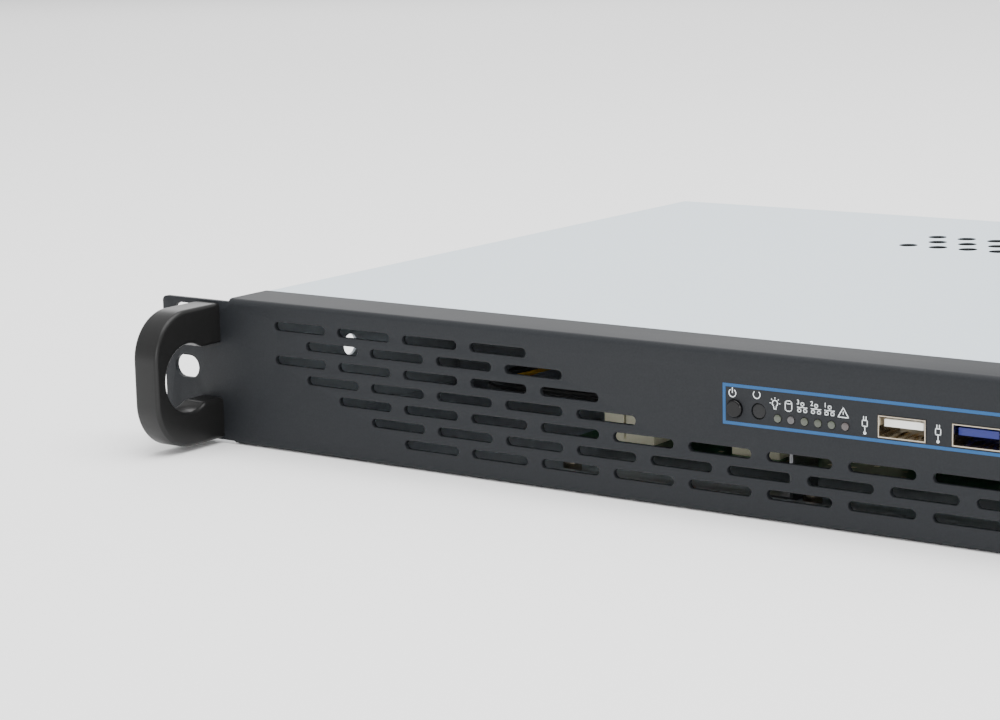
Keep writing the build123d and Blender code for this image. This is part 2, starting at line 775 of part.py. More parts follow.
cpu_rotor_z = cpu_fan_bottom + cpu_base_height + 0.5
with BuildPart(Plane.XY.move(Location((cooler_x, cooler_y, cpu_rotor_z)))) as cpu_fan_rotor:
    rotor_shape(cpu_fan_size * 0.26, cpu_fan_size / 2 - fan_wall - rotor_gap,
                cpu_fan_height - cpu_base_height - 0.8, 7, 36)
save(cpu_fan_rotor, "cpu_fan_rotor")

with BuildPart() as chipset_heatsink:
    chipset_front = board_front + chipset_behind_front
    chipset_back = chipset_front + chipset_size
    block(chipset_left, chipset_left + chipset_size, chipset_front, chipset_back,
          board_top, board_top + chipset_base)
    for index in range(chipset_fins):
        x = chipset_left + index * (chipset_size - fin_thickness) / (chipset_fins - 1)
        block(x, x + fin_thickness, chipset_front, chipset_back,
              board_top + chipset_base, board_top + chipset_height)
save(chipset_heatsink, "chipset_heatsink")

module_width = 67.6
module_depth = 30.0
socket_depth = 6.0
memory_left = -101.5
memory_rows = [board_front + offset for offset in memory_behind_front]
module_low = board_top + 2.4
with BuildPart() as memory_sockets:
    for y in memory_rows:
        block(memory_left - 1.2, memory_left + module_width + 1.2, y - socket_depth, y,
              board_top, board_top + 5.2)
        for x in (memory_left - 3.0, memory_left + module_width + 0.4):
            block(x, x + 2.6, y, y + module_depth, board_top, board_top + 2.0)
save(memory_sockets, "memory_sockets")

with BuildPart() as memory_modules:
    for y in memory_rows:
        block(memory_left, memory_left + module_width, y + 0.2, y + module_depth,
              module_low, module_low + 1.2)
        for index in range(4):
            x = memory_left + 6.0 + index * 15.5
            block(x, x + 10.5, y + 8.0, y + 22.0, module_low + 1.2, module_low + 2.2)
save(memory_modules, "memory_modules")

power_header = (-105.5, -89.0, board_front + 2.0, board_front + 12.0)
signal_header = (-65.0, -50.0, board_front + 4.0, board_front + 12.0)
key_slot = (-99.0, -98.2)
with BuildPart() as board_connectors:
    block(*power_header, board_top, board_top + 9.5)
    block(power_header[0] + 1.2, power_header[1] - 1.2, power_header[2] + 1.2, power_header[3] - 1.2,
          board_top + 2.0, board_top + 9.5, mode=Mode.SUBTRACT)
    block(*key_slot, power_header[2], power_header[2] + 1.2, board_top + 1.0, board_top + 9.5,
          mode=Mode.SUBTRACT)
    block(*signal_header, board_top, board_top + 6.0)
    block(-44.0, -20.0, board_front + 16.0, board_front + 22.0, board_top, board_top + 8.0)
    block(20.0, 36.0, board_front + 3.0, board_front + 10.0, board_top, board_top + 8.0)
    block(70.0, 80.0, board_front + 3.0, board_front + 8.0, board_top, board_top + 6.0)
save(board_connectors, "board_connectors")

with BuildPart() as power_plug:
    block(power_header[0] + 1.4, power_header[1] - 1.4, power_header[2] + 1.4, power_header[3] - 1.4,
          board_top + 2.2, board_top + 14.5)
    block(*key_slot, power_header[2] + 1.4, power_header[2] + 4.0, board_top + 2.2, board_top + 14.5,
          mode=Mode.SUBTRACT)
save(power_plug, "power_plug")

with BuildPart() as board_chips:
    block(cooler_x - cpu_size / 2, cooler_x + cpu_size / 2, cooler_y - cpu_size / 2, cooler_y + cpu_size / 2,
          board_top, cooler_bottom)
    block(-84.0, -66.0, board_front + 31.0, board_front + 49.0, board_top, board_top + 1.6)
    block(-100.0, -90.0, board_front + 63.0, board_front + 79.0, board_top, board_top + 1.4)
    block(50.0, 64.0, board_front + 23.0, board_front + 37.0, board_top, board_top + 1.6)
    for x in jack_xs:
        block(x - 4.5, x + 4.5, board_front + 167.0, board_front + 176.0, board_top, board_top + 1.2)
save(board_chips, "board_chips")

# From the middle in x and from the board's front edge in y
capacitor_points = [(-50.0, 63.0), (-50.0, 73.0), (-50.0, 83.0), (-50.0, 93.0), (46.0, 63.0),
                    (46.0, 73.0), (60.0, 7.0), (-98.0, 23.0)]
with BuildPart() as board_capacitors:
    for x, offset in capacitor_points:
        rod_z(x, board_front + offset, capacitor_radius, board_top, board_top + capacitor_height)
    top_rims = board_capacitors.edges().filter_by(GeomType.CIRCLE).group_by(Axis.Z)[-1]
    fillet(top_rims, radius=0.6)
save(board_capacitors, "board_capacitors")

with BuildPart() as coin_cell:
    coin_y = board_front + coin_behind_front
    rod_z(coin_x, coin_y, 11.0, board_top, board_top + 2.2)
    rod_z(coin_x, coin_y, 10.0, board_top + 2.2, board_top + 5.4)
save(coin_cell, "coin_cell")

# ------------------------------------------------------------------ power supply
psu_case_left = psu_left + psu_sheet + fit_gap
psu_case_right = psu_right - psu_sheet - fit_gap
psu_lid_bottom = psu_top - psu_sheet
rocker_x = inlet_x
psu_boss_points = []
for x in (psu_left + 8.0, psu_right - 8.0):
    for y in (psu_front + 8.0, psu_back - 34.0):
        psu_boss_points.append((x, y))
psu_board_bottom = psu_bottom + psu_sheet + 3.0
inlet_body_width = inlet_width - 1.0
inlet_body_height = inlet_height - 1.0
bezel_width = rocker_width + 2 * rocker_clearance + 2.0
bezel_height = rocker_height + 2 * rocker_clearance + 1.6
exit_x = psu_left + 41.0
exit_z = psu_bottom + 12.8

with BuildPart() as psu_case:
    block(psu_case_left, psu_case_right, psu_front, psu_back, psu_bottom, psu_bottom + psu_sheet)
    block(psu_case_left, psu_case_right, psu_back - psu_sheet, psu_back,
          psu_bottom, psu_lid_bottom - fit_gap)
    block(psu_case_left, psu_case_right, psu_front, psu_front + psu_sheet,
          psu_bottom, psu_lid_bottom - fit_gap)
    for x, y in psu_boss_points:
        rod_z(x, y, 2.5, psu_bottom + psu_sheet, psu_board_bottom)
    block(inlet_x - inlet_body_width / 2 - 0.2, inlet_x + inlet_body_width / 2 + 0.2,
          psu_back - psu_sheet, psu_back, inlet_z - inlet_body_height / 2 - 0.2,
          inlet_z + inlet_body_height / 2 + 0.2, mode=Mode.SUBTRACT)
    block(rocker_x - bezel_width / 2 + 0.6, rocker_x + bezel_width / 2 - 0.6,
          psu_back - psu_sheet, psu_back, rocker_z - bezel_height / 2 + 0.6,
          rocker_z + bezel_height / 2 - 0.6, mode=Mode.SUBTRACT)
    rod_y(exit_x, exit_z, power_cable_radius + 1.0, psu_front, psu_front + psu_sheet, mode=Mode.SUBTRACT)
    with BuildSketch(facing_y(psu_back - psu_sheet)):
        grille_rings(psu_fan_x, psu_fan_z, psu_fan_size / 2 - 1.5)
    extrude(amount=-psu_sheet, mode=Mode.SUBTRACT)
save(psu_case, "psu_case")

with BuildPart() as psu_lid:
    block(psu_left, psu_right, psu_front, psu_back, psu_bottom + fit_gap, psu_top)
    block(psu_left + psu_sheet, psu_right - psu_sheet, psu_front - 1.0, psu_back + 1.0,
          psu_bottom - 1.0, psu_top - psu_sheet, mode=Mode.SUBTRACT)
save(psu_lid, "psu_lid")

psu_parts_low = psu_board_bottom + board_thickness
with BuildPart() as psu_board:
    block(psu_case_left + 1.0, psu_case_right - 1.0, psu_front + 2.0, psu_back - 28.0,
          psu_board_bottom, psu_board_bottom + board_thickness)
    block(-180.0, -150.0, psu_front + 60.0, psu_front + 90.0, psu_parts_low, psu_parts_low + 24.0)
    block(-196.0, -192.0, psu_front + 20.0, psu_front + 100.0, psu_parts_low, psu_parts_low + 26.0)
    block(-136.0, -132.0, psu_front + 20.0, psu_front + 90.0, psu_parts_low, psu_parts_low + 26.0)
    rod_z(-162.0, psu_front + 40.0, 9.0, psu_parts_low, psu_parts_low + 28.0)
    rod_z(-178.0, psu_front + 20.0, 5.0, psu_parts_low, psu_parts_low + 20.0)
    rod_z(-150.0, psu_front + 14.0, 5.0, psu_parts_low, psu_parts_low + 20.0)
save(psu_board, "psu_board")

fan_base = 3.0
psu_frame_y = psu_back - psu_sheet - fit_gap
psu_fan_plane = Plane(origin=(psu_fan_x, psu_frame_y - psu_fan_depth, psu_fan_z),
                      x_dir=(-1, 0, 0), z_dir=(0, 1, 0))
with BuildPart(psu_fan_plane) as psu_fan_frame:
    fan_frame_shape(psu_fan_size, psu_fan_depth, fan_wall, fan_base)
save(psu_fan_frame, "psu_fan_frame")

psu_rotor_plane = psu_fan_plane.offset(fan_base + 0.5)
with BuildPart(psu_rotor_plane) as psu_fan_rotor:
    rotor_shape(psu_fan_size * 0.26, psu_fan_size / 2 - fan_wall - rotor_gap,
                psu_fan_depth - fan_base - 1.5, 7, 42)
save(psu_fan_rotor, "psu_fan_rotor")

inlet_depth = 20.0
inlet_cavity_width = 23.0
inlet_cavity_height = 15.6
inlet_cavity_depth = 17.0
inlet_front = psu_back + 1.6
with BuildPart() as power_inlet:
    block(inlet_x - inlet_width / 2, inlet_x + inlet_width / 2, psu_back + fit_gap, inlet_front,
          inlet_z - inlet_height / 2, inlet_z + inlet_height / 2)
    block(inlet_x - inlet_body_width / 2, inlet_x + inlet_body_width / 2,
          psu_back - inlet_depth, psu_back + fit_gap,
          inlet_z - inlet_body_height / 2, inlet_z + inlet_body_height / 2)
    with BuildSketch(facing_y(inlet_front - inlet_cavity_depth)) as cavity:
        with Locations((inlet_x, inlet_z)):
            Rectangle(inlet_cavity_width, inlet_cavity_height)
        chamfer(cavity.vertices().group_by(Axis.Y)[-1], length=4.0)
    extrude(amount=-inlet_cavity_depth, mode=Mode.SUBTRACT)
save(power_inlet, "power_inlet")

pin_back = inlet_front - inlet_cavity_depth
with BuildPart() as inlet_pins:
    for dx, dz in ((-7.0, -2.0), (7.0, -2.0), (0.0, 2.0)):
        block(inlet_x + dx - 1.0, inlet_x + dx + 1.0, pin_back, pin_back + 14.5,
              inlet_z + dz - 2.0, inlet_z + dz + 2.0)
save(inlet_pins, "inlet_pins")

bezel_front = psu_back + 1.4
bezel_depth = 11.0
with BuildPart() as rocker_bezel:
    block(rocker_x - bezel_width / 2, rocker_x + bezel_width / 2, psu_back + fit_gap, bezel_front,
          rocker_z - bezel_height / 2, rocker_z + bezel_height / 2)
    block(rocker_x - bezel_width / 2 + 0.8, rocker_x + bezel_width / 2 - 0.8, psu_back - bezel_depth,
          psu_back + fit_gap, rocker_z - bezel_height / 2 + 0.8, rocker_z + bezel_height / 2 - 0.8)
    block(rocker_x - rocker_width / 2 - rocker_clearance, rocker_x + rocker_width / 2 + rocker_clearance,
          psu_back - bezel_depth + 2.0, bezel_front + 1.0,
          rocker_z - rocker_height / 2 - fit_gap * 3, rocker_z + rocker_height / 2 + fit_gap * 3,
          mode=Mode.SUBTRACT)
save(rocker_bezel, "rocker_bezel")

rocker_pivot_y = psu_back - 1.5
rocker_plane = Plane(origin=(rocker_x, rocker_pivot_y, rocker_z - rocker_height / 2))
rocker_plane = rocker_plane.rotated((0, 0, -rocker_tilt))
with BuildPart() as psu_rocker:
    with BuildSketch(rocker_plane):
        with BuildLine():
            Polyline((-rocker_width / 2 + 0.1, -1.0), (-rocker_width / 2 + 0.1, 3.4), (0, 2.3),
                     (rocker_width / 2 - 0.1, 3.4), (rocker_width / 2 - 0.1, -1.0),
                     (3.0, -5.0), (-3.0, -5.0),
                     close=True)
        make_face()
    extrude(amount=rocker_height)
save(psu_rocker, "psu_rocker")


# ------------------------------------------------------------------ case fans
def case_fan_plane(x):
    """The plane of a case fan's inner end, its local Z running to the rear."""
    inner_y = rear_inner_y - fit_gap - fan_depth
    return Plane(origin=(x, inner_y, fan_z), x_dir=(-1, 0, 0), z_dir=(0, 1, 0))


for side_name, fan_x in (("left", fan_left_x), ("right", fan_right_x)):
    with BuildPart(case_fan_plane(fan_x)) as fan_frame:
        fan_frame_shape(fan_size, fan_depth, fan_wall, fan_base)
    save(fan_frame, f"fan_frame_{side_name}")
    with BuildPart(case_fan_plane(fan_x).offset(fan_base + 0.5)) as fan_rotor:
        rotor_shape(fan_size * 0.26, fan_size / 2 - fan_wall - rotor_gap, fan_depth - fan_base - 1.5, 7, 42)
    save(fan_rotor, f"fan_rotor_{side_name}")

# ------------------------------------------------------------------ storage drive
drive_front = front_y + drive_behind_front
drive_bottom = floor_top + drive_lift
cradle_sheet = 1.0
with BuildPart() as storage_drive:
    block(drive_left, drive_left + drive_width, drive_front, drive_front + drive_length,
          drive_bottom, drive_bottom + drive_height)
    upright_edges = storage_drive.edges().filter_by(Axis.Z)
    fillet(upright_edges, radius=2.0)
save(storage_drive, "storage_drive")

with BuildPart() as drive_bracket:
    block(drive_left - cradle_sheet - slide_gap, drive_left + drive_width + cradle_sheet + slide_gap,
          drive_front + 10.0, drive_front + drive_length - 10.0,
          floor_top, drive_bottom + drive_height - 1.0)
    block(drive_left - slide_gap, drive_left + drive_width + slide_gap,
          drive_front, drive_front + drive_length,
          drive_bottom - fit_gap, drive_bottom + drive_height, mode=Mode.SUBTRACT)
    block(drive_left + 5.0, drive_left + drive_width - 5.0, drive_front, drive_front + drive_length,
          floor_top + cradle_sheet, drive_bottom + drive_height, mode=Mode.SUBTRACT)
save(drive_bracket, "drive_bracket")

# ------------------------------------------------------------------ cables
plug_wire_z = board_top + 12.3
cable_route = [(exit_x, psu_front + psu_sheet, exit_z),
               (exit_x, psu_front - 38.0, exit_z),
               (exit_x + 18.0, psu_front - 58.4, (exit_z + plug_wire_z) / 2),
               (power_header[0] + 1.4 - 0.2, (power_header[2] + power_header[3]) / 2, plug_wire_z)]
with BuildPart() as power_cable:
    with BuildLine():
        FilletPolyline(*cable_route, radius=bend_radii(cable_route, 5 * power_cable_radius))
    with BuildSketch(facing_y(psu_front + psu_sheet)):
        with Locations((exit_x, exit_z)):
            Circle(power_cable_radius)
    sweep()
save(power_cable, "power_cable")

wire_top = io_top + 2.6
wire_low = board_top + 3.4
wires = []
for index in range(wire_count):
    start_y = io_back - 13.5 + 2.0 * index
    end_y = signal_header[2] + 1.0 + 2.0 * index
    start_x = io_board_left + 0.3
    loop_x = signal_header[0] - 12.0 - 1.6 * index
    middle_y = (start_y + end_y) / 2
    route = [(start_x, start_y, wire_top),
             (loop_x + 7.0, start_y, wire_top),
             (loop_x, start_y + (middle_y - start_y) * 0.5, wire_top - 6.5),
             (loop_x, middle_y + (end_y - middle_y) * 0.3, wire_low + 6.5),
             (loop_x + 6.5, end_y, wire_low),
             (signal_header[0] - 0.2, end_y, wire_low)]
    with BuildPart() as wire:
        with BuildLine():
            FilletPolyline(*route, radius=bend_radii(route, 3 * wire_radius * 2))
        with BuildSketch(Plane(origin=route[0], z_dir=(-1, 0, 0))):
            Circle(wire_radius)
        sweep()
    wires.append(wire.part)

with BuildPart() as front_wires:
    add(wires)
save(front_wires, "front_wires")

# ------------------------------------------------------------------ top cover
cover_front = front_y + top_flange + cover_joint_gap
vent_hole_points = []
for row_index in (-1, 0, 1):
    count = vent_hole_count - (1 if row_index == 0 else 0)
    for index in range(count):
        vent_hole_points.append(((index - (count - 1) / 2) * vent_hole_pitch,
                                 front_y + vent_field_behind_front + row_index * vent_hole_row_pitch))

with BuildPart() as top_cover:
    block(left_x, right_x, cover_front, back_y, cover_bottom, body_height)
    block(left_x, left_x + sheet, cover_front, back_y, body_height - cover_lip, body_height)
    block(right_x - sheet, right_x, cover_front, back_y, body_height - cover_lip, body_height)
    outer_bends = top_cover.edges().filter_by(Axis.Y).group_by(Axis.Z)[-1]
    fillet(outer_bends, radius=bend_radius * 0.9)
    with BuildSketch(Plane.XY.offset(cover_bottom)):
        with Locations(*vent_hole_points):
            Circle(vent_hole_radius)
    extrude(amount=sheet, mode=Mode.SUBTRACT)
    for x in thumb_x:
        block(x - tab_width / 2, x + tab_width / 2, back_y - sheet, back_y,
              body_height - tab_height, cover_bottom)
        rod_y(x, thumb_z, thumbscrew_shank_radius + 0.3, back_y - sheet, back_y, mode=Mode.SUBTRACT)
    half_tongue = tongue_width / 2
    block(-half_tongue, half_tongue, cover_front + 0.1, cover_front + 14.0, tongue_bottom, cover_bottom)
    block(-half_tongue, half_tongue, cover_front - tongue_reach, cover_front + 14.0,
          tongue_bottom, tongue_top)
save(top_cover, "top_cover")

with BuildPart() as cover_thumbscrews:
    for x in thumb_x:
        rod_y(x, thumb_z, thumbscrew_shank_radius, rear_inner_y - 1.5, back_y + 0.2)
        rod_y(x, thumb_z, thumbscrew_head_radius, back_y + 0.1, back_y + 0.1 + thumbscrew_head_length)
    outer_rims = cover_thumbscrews.edges().filter_by(GeomType.CIRCLE).group_by(Axis.Y)[-1]
    chamfer(outer_rims, length=0.6)
    for x in thumb_x:
        block(x - thumbscrew_head_radius, x + thumbscrew_head_radius, back_y + thumbscrew_head_length - 1.3,
              back_y + thumbscrew_head_length + 1.0, thumb_z - 0.6, thumb_z + 0.6, mode=Mode.SUBTRACT)
save(cover_thumbscrews, "cover_thumbscrews")
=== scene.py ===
"""Looks of a 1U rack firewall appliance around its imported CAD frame, in metres."""

import logging
import math
import random
from dataclasses import dataclass, field
from enum import Enum
from typing import Callable, Sequence

import bmesh
import bpy
from mathutils import Matrix, Vector


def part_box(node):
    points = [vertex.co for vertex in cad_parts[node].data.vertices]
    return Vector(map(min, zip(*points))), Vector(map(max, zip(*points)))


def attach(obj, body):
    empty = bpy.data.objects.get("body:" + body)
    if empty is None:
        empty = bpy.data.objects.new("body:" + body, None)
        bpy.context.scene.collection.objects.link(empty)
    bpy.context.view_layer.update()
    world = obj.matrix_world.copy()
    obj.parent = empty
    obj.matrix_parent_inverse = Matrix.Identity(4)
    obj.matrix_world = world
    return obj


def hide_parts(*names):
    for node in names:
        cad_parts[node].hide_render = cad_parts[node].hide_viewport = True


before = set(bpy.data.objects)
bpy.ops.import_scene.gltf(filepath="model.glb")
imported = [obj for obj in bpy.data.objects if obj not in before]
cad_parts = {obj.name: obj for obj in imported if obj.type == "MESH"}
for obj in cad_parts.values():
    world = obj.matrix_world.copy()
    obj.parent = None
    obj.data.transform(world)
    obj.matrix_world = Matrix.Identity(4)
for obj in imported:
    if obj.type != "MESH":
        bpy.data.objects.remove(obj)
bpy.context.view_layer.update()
LOG = logging.getLogger("appliance")
MM = 0.001
CHASSIS = "chassis"
# Edges of added pieces that turn by more than this stay sharp, in radians
SHARP_ANGLE = 0.6
Colour = tuple[float, float, float]
Point = tuple[float, float, float]
Place = tuple[float, float]
Ring = tuple[float, float, float]
Socket = bpy.types.NodeSocket


# ---- colour and node helpers
def srgb(red: int, green: int, blue: int) -> Colour:
    """Turn 8-bit display colour into scene linear.

    Args:
        red, green, blue: channels from 0 to 255.

    Returns:
        The linear colour.
    """
    def linear(channel: int) -> float:
        """One channel's linear value."""
        value = channel / 255
        return value / 12.92 if value <= 0.04045 else ((value + 0.055) / 1.055) ** 2.4
    return linear(red), linear(green), linear(blue)


class NodeBoard:
    """A short way to add and join shader nodes in one tree."""

    def __init__(self, tree: bpy.types.NodeTree) -> None:
        """Keep the tree that nodes are added to."""
        self.tree = tree

    def add(self, kind: str, settings: dict | None = None, **inputs) -> bpy.types.Node:
        """Add a node.

        Args:
            kind: the node's type name after ShaderNode, such as Mix.
            settings: attributes to set on it.
            inputs: socket values or sockets to link, by name with _ for a space,
                or i0, i1 and so on for a socket's number.

        Returns:
            The new node.
        """
        node = self.tree.nodes.new(f"ShaderNode{kind}")
        for key, value in (settings or {}).items():
            setattr(node, key, value)
        for key, value in inputs.items():
            is_number = key[0] == "i" and key[1:].isdigit()
            socket = node.inputs[int(key[1:])] if is_number else node.inputs[key.replace("_", " ")]
            if isinstance(value, Socket):
                self.join(value, socket)
            elif isinstance(value, tuple) and len(value) == 3 and socket.type == "RGBA":
                socket.default_value = (*value, 1.0)
            else:
                socket.default_value = value
        return node

    def join(self, output: Socket, socket: Socket) -> None:
        """Link an output to an input."""
        self.tree.links.new(output, socket)

    def object_point(self) -> Socket:
        """The object-space position, in metres."""
        return self.add("TexCoord").outputs["Object"]

    def stretched(self, point: Socket, scale: Point) -> Socket:
        """The position scaled by a different factor along each axis."""
        return self.add("Mapping", Vector=point, Scale=scale).outputs[0]

    def noise(self, point: Socket, scale: float, detail: float = 3.0) -> Socket:
        """Noise from 0 to 1 with features about 1/scale metres apart."""
        node = self.add("TexNoise", Vector=point, Scale=scale, Detail=detail)
        return node.outputs["Fac"]

    def ranged(self, value: Socket, low: float, high: float,
               new_low: float, new_high: float) -> Socket:
        """Map a value's range low..high to new_low..new_high, clamped."""
        node = self.add("MapRange", i0=value, i1=low, i2=high, i3=new_low, i4=new_high)
        return node.outputs[0]

    def mixed(self, factor: Socket | float, first, second) -> Socket:
        """Blend two colours."""
        node = self.add("Mix", {"data_type": "RGBA"}, Factor=factor)
        for number, value in ((6, first), (7, second)):
            if isinstance(value, Socket):
                self.join(value, node.inputs[number])
            else:
                node.inputs[number].default_value = (*value, 1.0)
        return node.outputs[2]

    def sums(self, operation: str, first, second=0.0) -> Socket:
        """One Math node."""
        return self.add("Math", {"operation": operation}, i0=first, i1=second).outputs[0]

    def plus(self, first, second) -> Socket:
        """Add two values."""
        return self.sums("ADD", first, second)

    def times(self, first, second) -> Socket:
        """Multiply two values."""
        return self.sums("MULTIPLY", first, second)


def shader_group(name: str, inputs: Sequence[tuple[str, str, object]],
                 outputs: Sequence[tuple[str, str]],
                 fill: Callable[[NodeBoard, bpy.types.Node, bpy.types.Node], None]) -> bpy.types.NodeTree:
    """Build a shader node group once.

    Args:
        name: the group's name.
        inputs: name, socket type and default of each input.
        outputs: name and socket type of each output.
        fill: makes the inside from the board, the group's input node and its output node.

    Returns:
        The group, the old one where it exists.
    """
    if name in bpy.data.node_groups:
        return bpy.data.node_groups[name]
    tree = bpy.data.node_groups.new(name, "ShaderNodeTree")
    for label, kind, default in inputs:
        socket = tree.interface.new_socket(name=label, in_out="INPUT", socket_type=kind)
        socket.default_value = default
    for label, kind in outputs:
        tree.interface.new_socket(name=label, in_out="OUTPUT", socket_type=kind)
    fill(NodeBoard(tree), tree.nodes.new("NodeGroupInput"), tree.nodes.new("NodeGroupOutput"))
    return tree


def surface_variation() -> bpy.types.NodeTree:
    """Group: grain height, blotched tone and roughness for any coated or moulded surface."""
    def fill(board: NodeBoard, source: bpy.types.Node, sink: bpy.types.Node) -> None:
        """Grain from two noises, tone from a wide one."""
        point = board.object_point()
        grain = board.add("TexNoise", Vector=point, Scale=source.outputs["Grain Scale"], Detail=2.0)
        pits = board.add("TexVoronoi", Vector=point, Scale=source.outputs["Grain Scale"])
        height = board.plus(board.times(grain.outputs["Fac"], 0.6),
                            board.times(pits.outputs["Distance"], 0.4))
        wide = board.noise(point, 14.0, 4.0)
        centred = board.sums("SUBTRACT", wide, 0.5)
        specks = board.sums("SUBTRACT", height, 0.5)
        tone = board.plus(board.times(centred, source.outputs["Blotch"]),
                          board.times(specks, source.outputs["Speckle"]))
        factor = board.plus(1.0, tone)
        shaded = board.add("VectorMath", {"operation": "SCALE"}, i0=source.outputs["Colour"],
                           Scale=factor)
        rough = board.plus(source.outputs["Roughness"],
                           board.times(centred, source.outputs["Roughness Range"]))
        board.join(shaded.outputs[0], sink.inputs["Colour"])
        board.join(rough, sink.inputs["Roughness"])
        board.join(height, sink.inputs["Height"])
    inputs = [("Colour", "NodeSocketColor", (0.5, 0.5, 0.5, 1.0)), ("Roughness", "NodeSocketFloat", 0.5),
              ("Roughness Range", "NodeSocketFloat", 0.15), ("Grain Scale", "NodeSocketFloat", 1500.0),
              ("Blotch", "NodeSocketFloat", 0.1), ("Speckle", "NodeSocketFloat", 0.2)]
    outputs = [("Colour", "NodeSocketColor"), ("Roughness", "NodeSocketFloat"), ("Height", "NodeSocketFloat")]
    return shader_group("surface_variation", inputs, outputs, fill)


# ---- finishes
@dataclass(frozen=True)
class Finish:
    """A coated, moulded or plated surface.

    Grain is the spacing of its surface texture in metres, and grain_depth its height.
    """

    name: str
    colour: Colour
    roughness: float = 0.4
    metallic: float = 0.0
    roughness_range: float = 0.12
    grain: float = 0.0007
    grain_depth: float = 0.00002
    bump: float = 0.4
    blotch: float = 0.12
    speckle: float = 0.2
    coat: float = 0.0
    coat_roughness: float = 0.1
    specular: float = 0.5

    def tint(self, board: NodeBoard) -> Socket | None:
        """A colour that varies over the surface, or None for the plain one."""
        return None

    def relief(self, board: NodeBoard, height: Socket) -> Socket:
        """The height that drives the bump, from the grain's own height."""
        return height

    def build(self) -> bpy.types.Material:
        """Make the material, or return it if it is made already."""
        if self.name in bpy.data.materials:
            return bpy.data.materials[self.name]
        material = bpy.data.materials.new(self.name)
        material.use_nodes = True
        board = NodeBoard(material.node_tree)
        principled = material.node_tree.nodes["Principled BSDF"]
        varied = board.add("Group", {"node_tree": surface_variation()}, Roughness=self.roughness,
                           Roughness_Range=self.roughness_range, Grain_Scale=1 / self.grain,
                           Blotch=self.blotch, Speckle=self.speckle)
        tint = self.tint(board)
        if tint is None:
            varied.inputs["Colour"].default_value = (*self.colour, 1.0)
        else:
            board.join(tint, varied.inputs["Colour"])
        bump = board.add("Bump", Strength=self.bump, Distance=self.grain_depth,
                         Height=self.relief(board, varied.outputs["Height"]))
        board.join(varied.outputs["Colour"], principled.inputs["Base Color"])
        board.join(varied.outputs["Roughness"], principled.inputs["Roughness"])
        board.join(bump.outputs[0], principled.inputs["Normal"])
        for socket, value in (("Metallic", self.metallic), ("Coat Weight", self.coat),
                              ("Coat Roughness", self.coat_roughness), ("Specular IOR Level", self.specular)):
            principled.inputs[socket].default_value = value
        return material


@dataclass(frozen=True)
class BrushedSheet(Finish):
    """Rolled or brushed metal with fine lines along one axis."""

    metallic: float = 1.0
    line_scale: Point = (60.0, 3000.0, 3000.0)

    def lines(self, board: NodeBoard) -> Socket:
        """Long thin lines, from 0 to 1."""
        return board.noise(board.stretched(board.object_point(), self.line_scale), 1.0, 2.0)

    def relief(self, board: NodeBoard, height: Socket) -> Socket:
        """The lines added to the grain."""
        return board.plus(board.times(self.lines(board), 0.8), board.times(height, 0.2))

    def tint(self, board: NodeBoard) -> Socket:
        """Slightly lighter and darker lines."""
        darker = tuple(channel * 0.8 for channel in self.colour)
        return board.mixed(board.ranged(self.lines(board), 0.3, 0.7, 0.0, 1.0), darker, self.colour)


@dataclass(frozen=True)
class CircuitBoard(Finish):
    """Solder mask with copper tracks and small pads showing through."""

    track_colour: Colour = srgb(38, 108, 62)
    pad_colour: Colour = srgb(196, 190, 160)
    track_pitch: float = 0.0016

    def tint(self, board: NodeBoard) -> Socket:
        """Tracks from stepped bricks, pads from a cell pattern."""
        point = board.object_point()
        bricks = board.add("TexBrick", {"offset": 0.37, "squash": 1.0}, Vector=point,
                           Scale=1 / self.track_pitch / 2, Mortar_Size=0.06, Brick_Width=6.0, Row_Height=0.5)
        cells = board.add("TexVoronoi", {"distance": "CHEBYCHEV"}, Vector=point, Scale=230.0)
        zones = board.ranged(board.noise(point, 45.0, 1.0), 0.48, 0.56, 0.0, 1.0)
        tracks = board.times(bricks.outputs["Fac"], zones)
        pads = board.ranged(cells.outputs["Distance"], 0.16, 0.19, 1.0, 0.0)
        with_tracks = board.mixed(board.times(tracks, 0.7), self.colour, self.track_colour)
        return board.mixed(board.times(pads, board.sums("SUBTRACT", 1.0, zones)),
                           with_tracks, self.pad_colour)


@dataclass(frozen=True)
class StatusLens(Finish):
    """Unlit lamp lenses whose tint changes from lens to lens along X."""

    first_x: float = -0.0317
    pitch: float = 0.00388
    tints: tuple[Colour, ...] = (srgb(60, 65, 53), srgb(65, 63, 65), srgb(58, 62, 50),
                                 srgb(52, 57, 45), srgb(59, 65, 53), srgb(68, 61, 61))

    def tint(self, board: NodeBoard) -> Socket:
        """A stepped ramp along X, one step for each lens."""
        x = board.add("SeparateXYZ", i0=board.object_point()).outputs[0]
        last_x = self.first_x + self.pitch * len(self.tints)
        along = board.ranged(x, self.first_x, last_x, 0.0, 1.0)
        ramp = board.add("ValToRGB", Fac=along)
        ramp.color_ramp.interpolation = "CONSTANT"
        stops = ramp.color_ramp.elements
        while len(stops) < len(self.tints):
            stops.new(0.5)
        for index, tint in enumerate(self.tints):
            stops[index].position = index / len(self.tints)
            stops[index].color = (*tint, 1.0)
        return ramp.outputs["Color"]


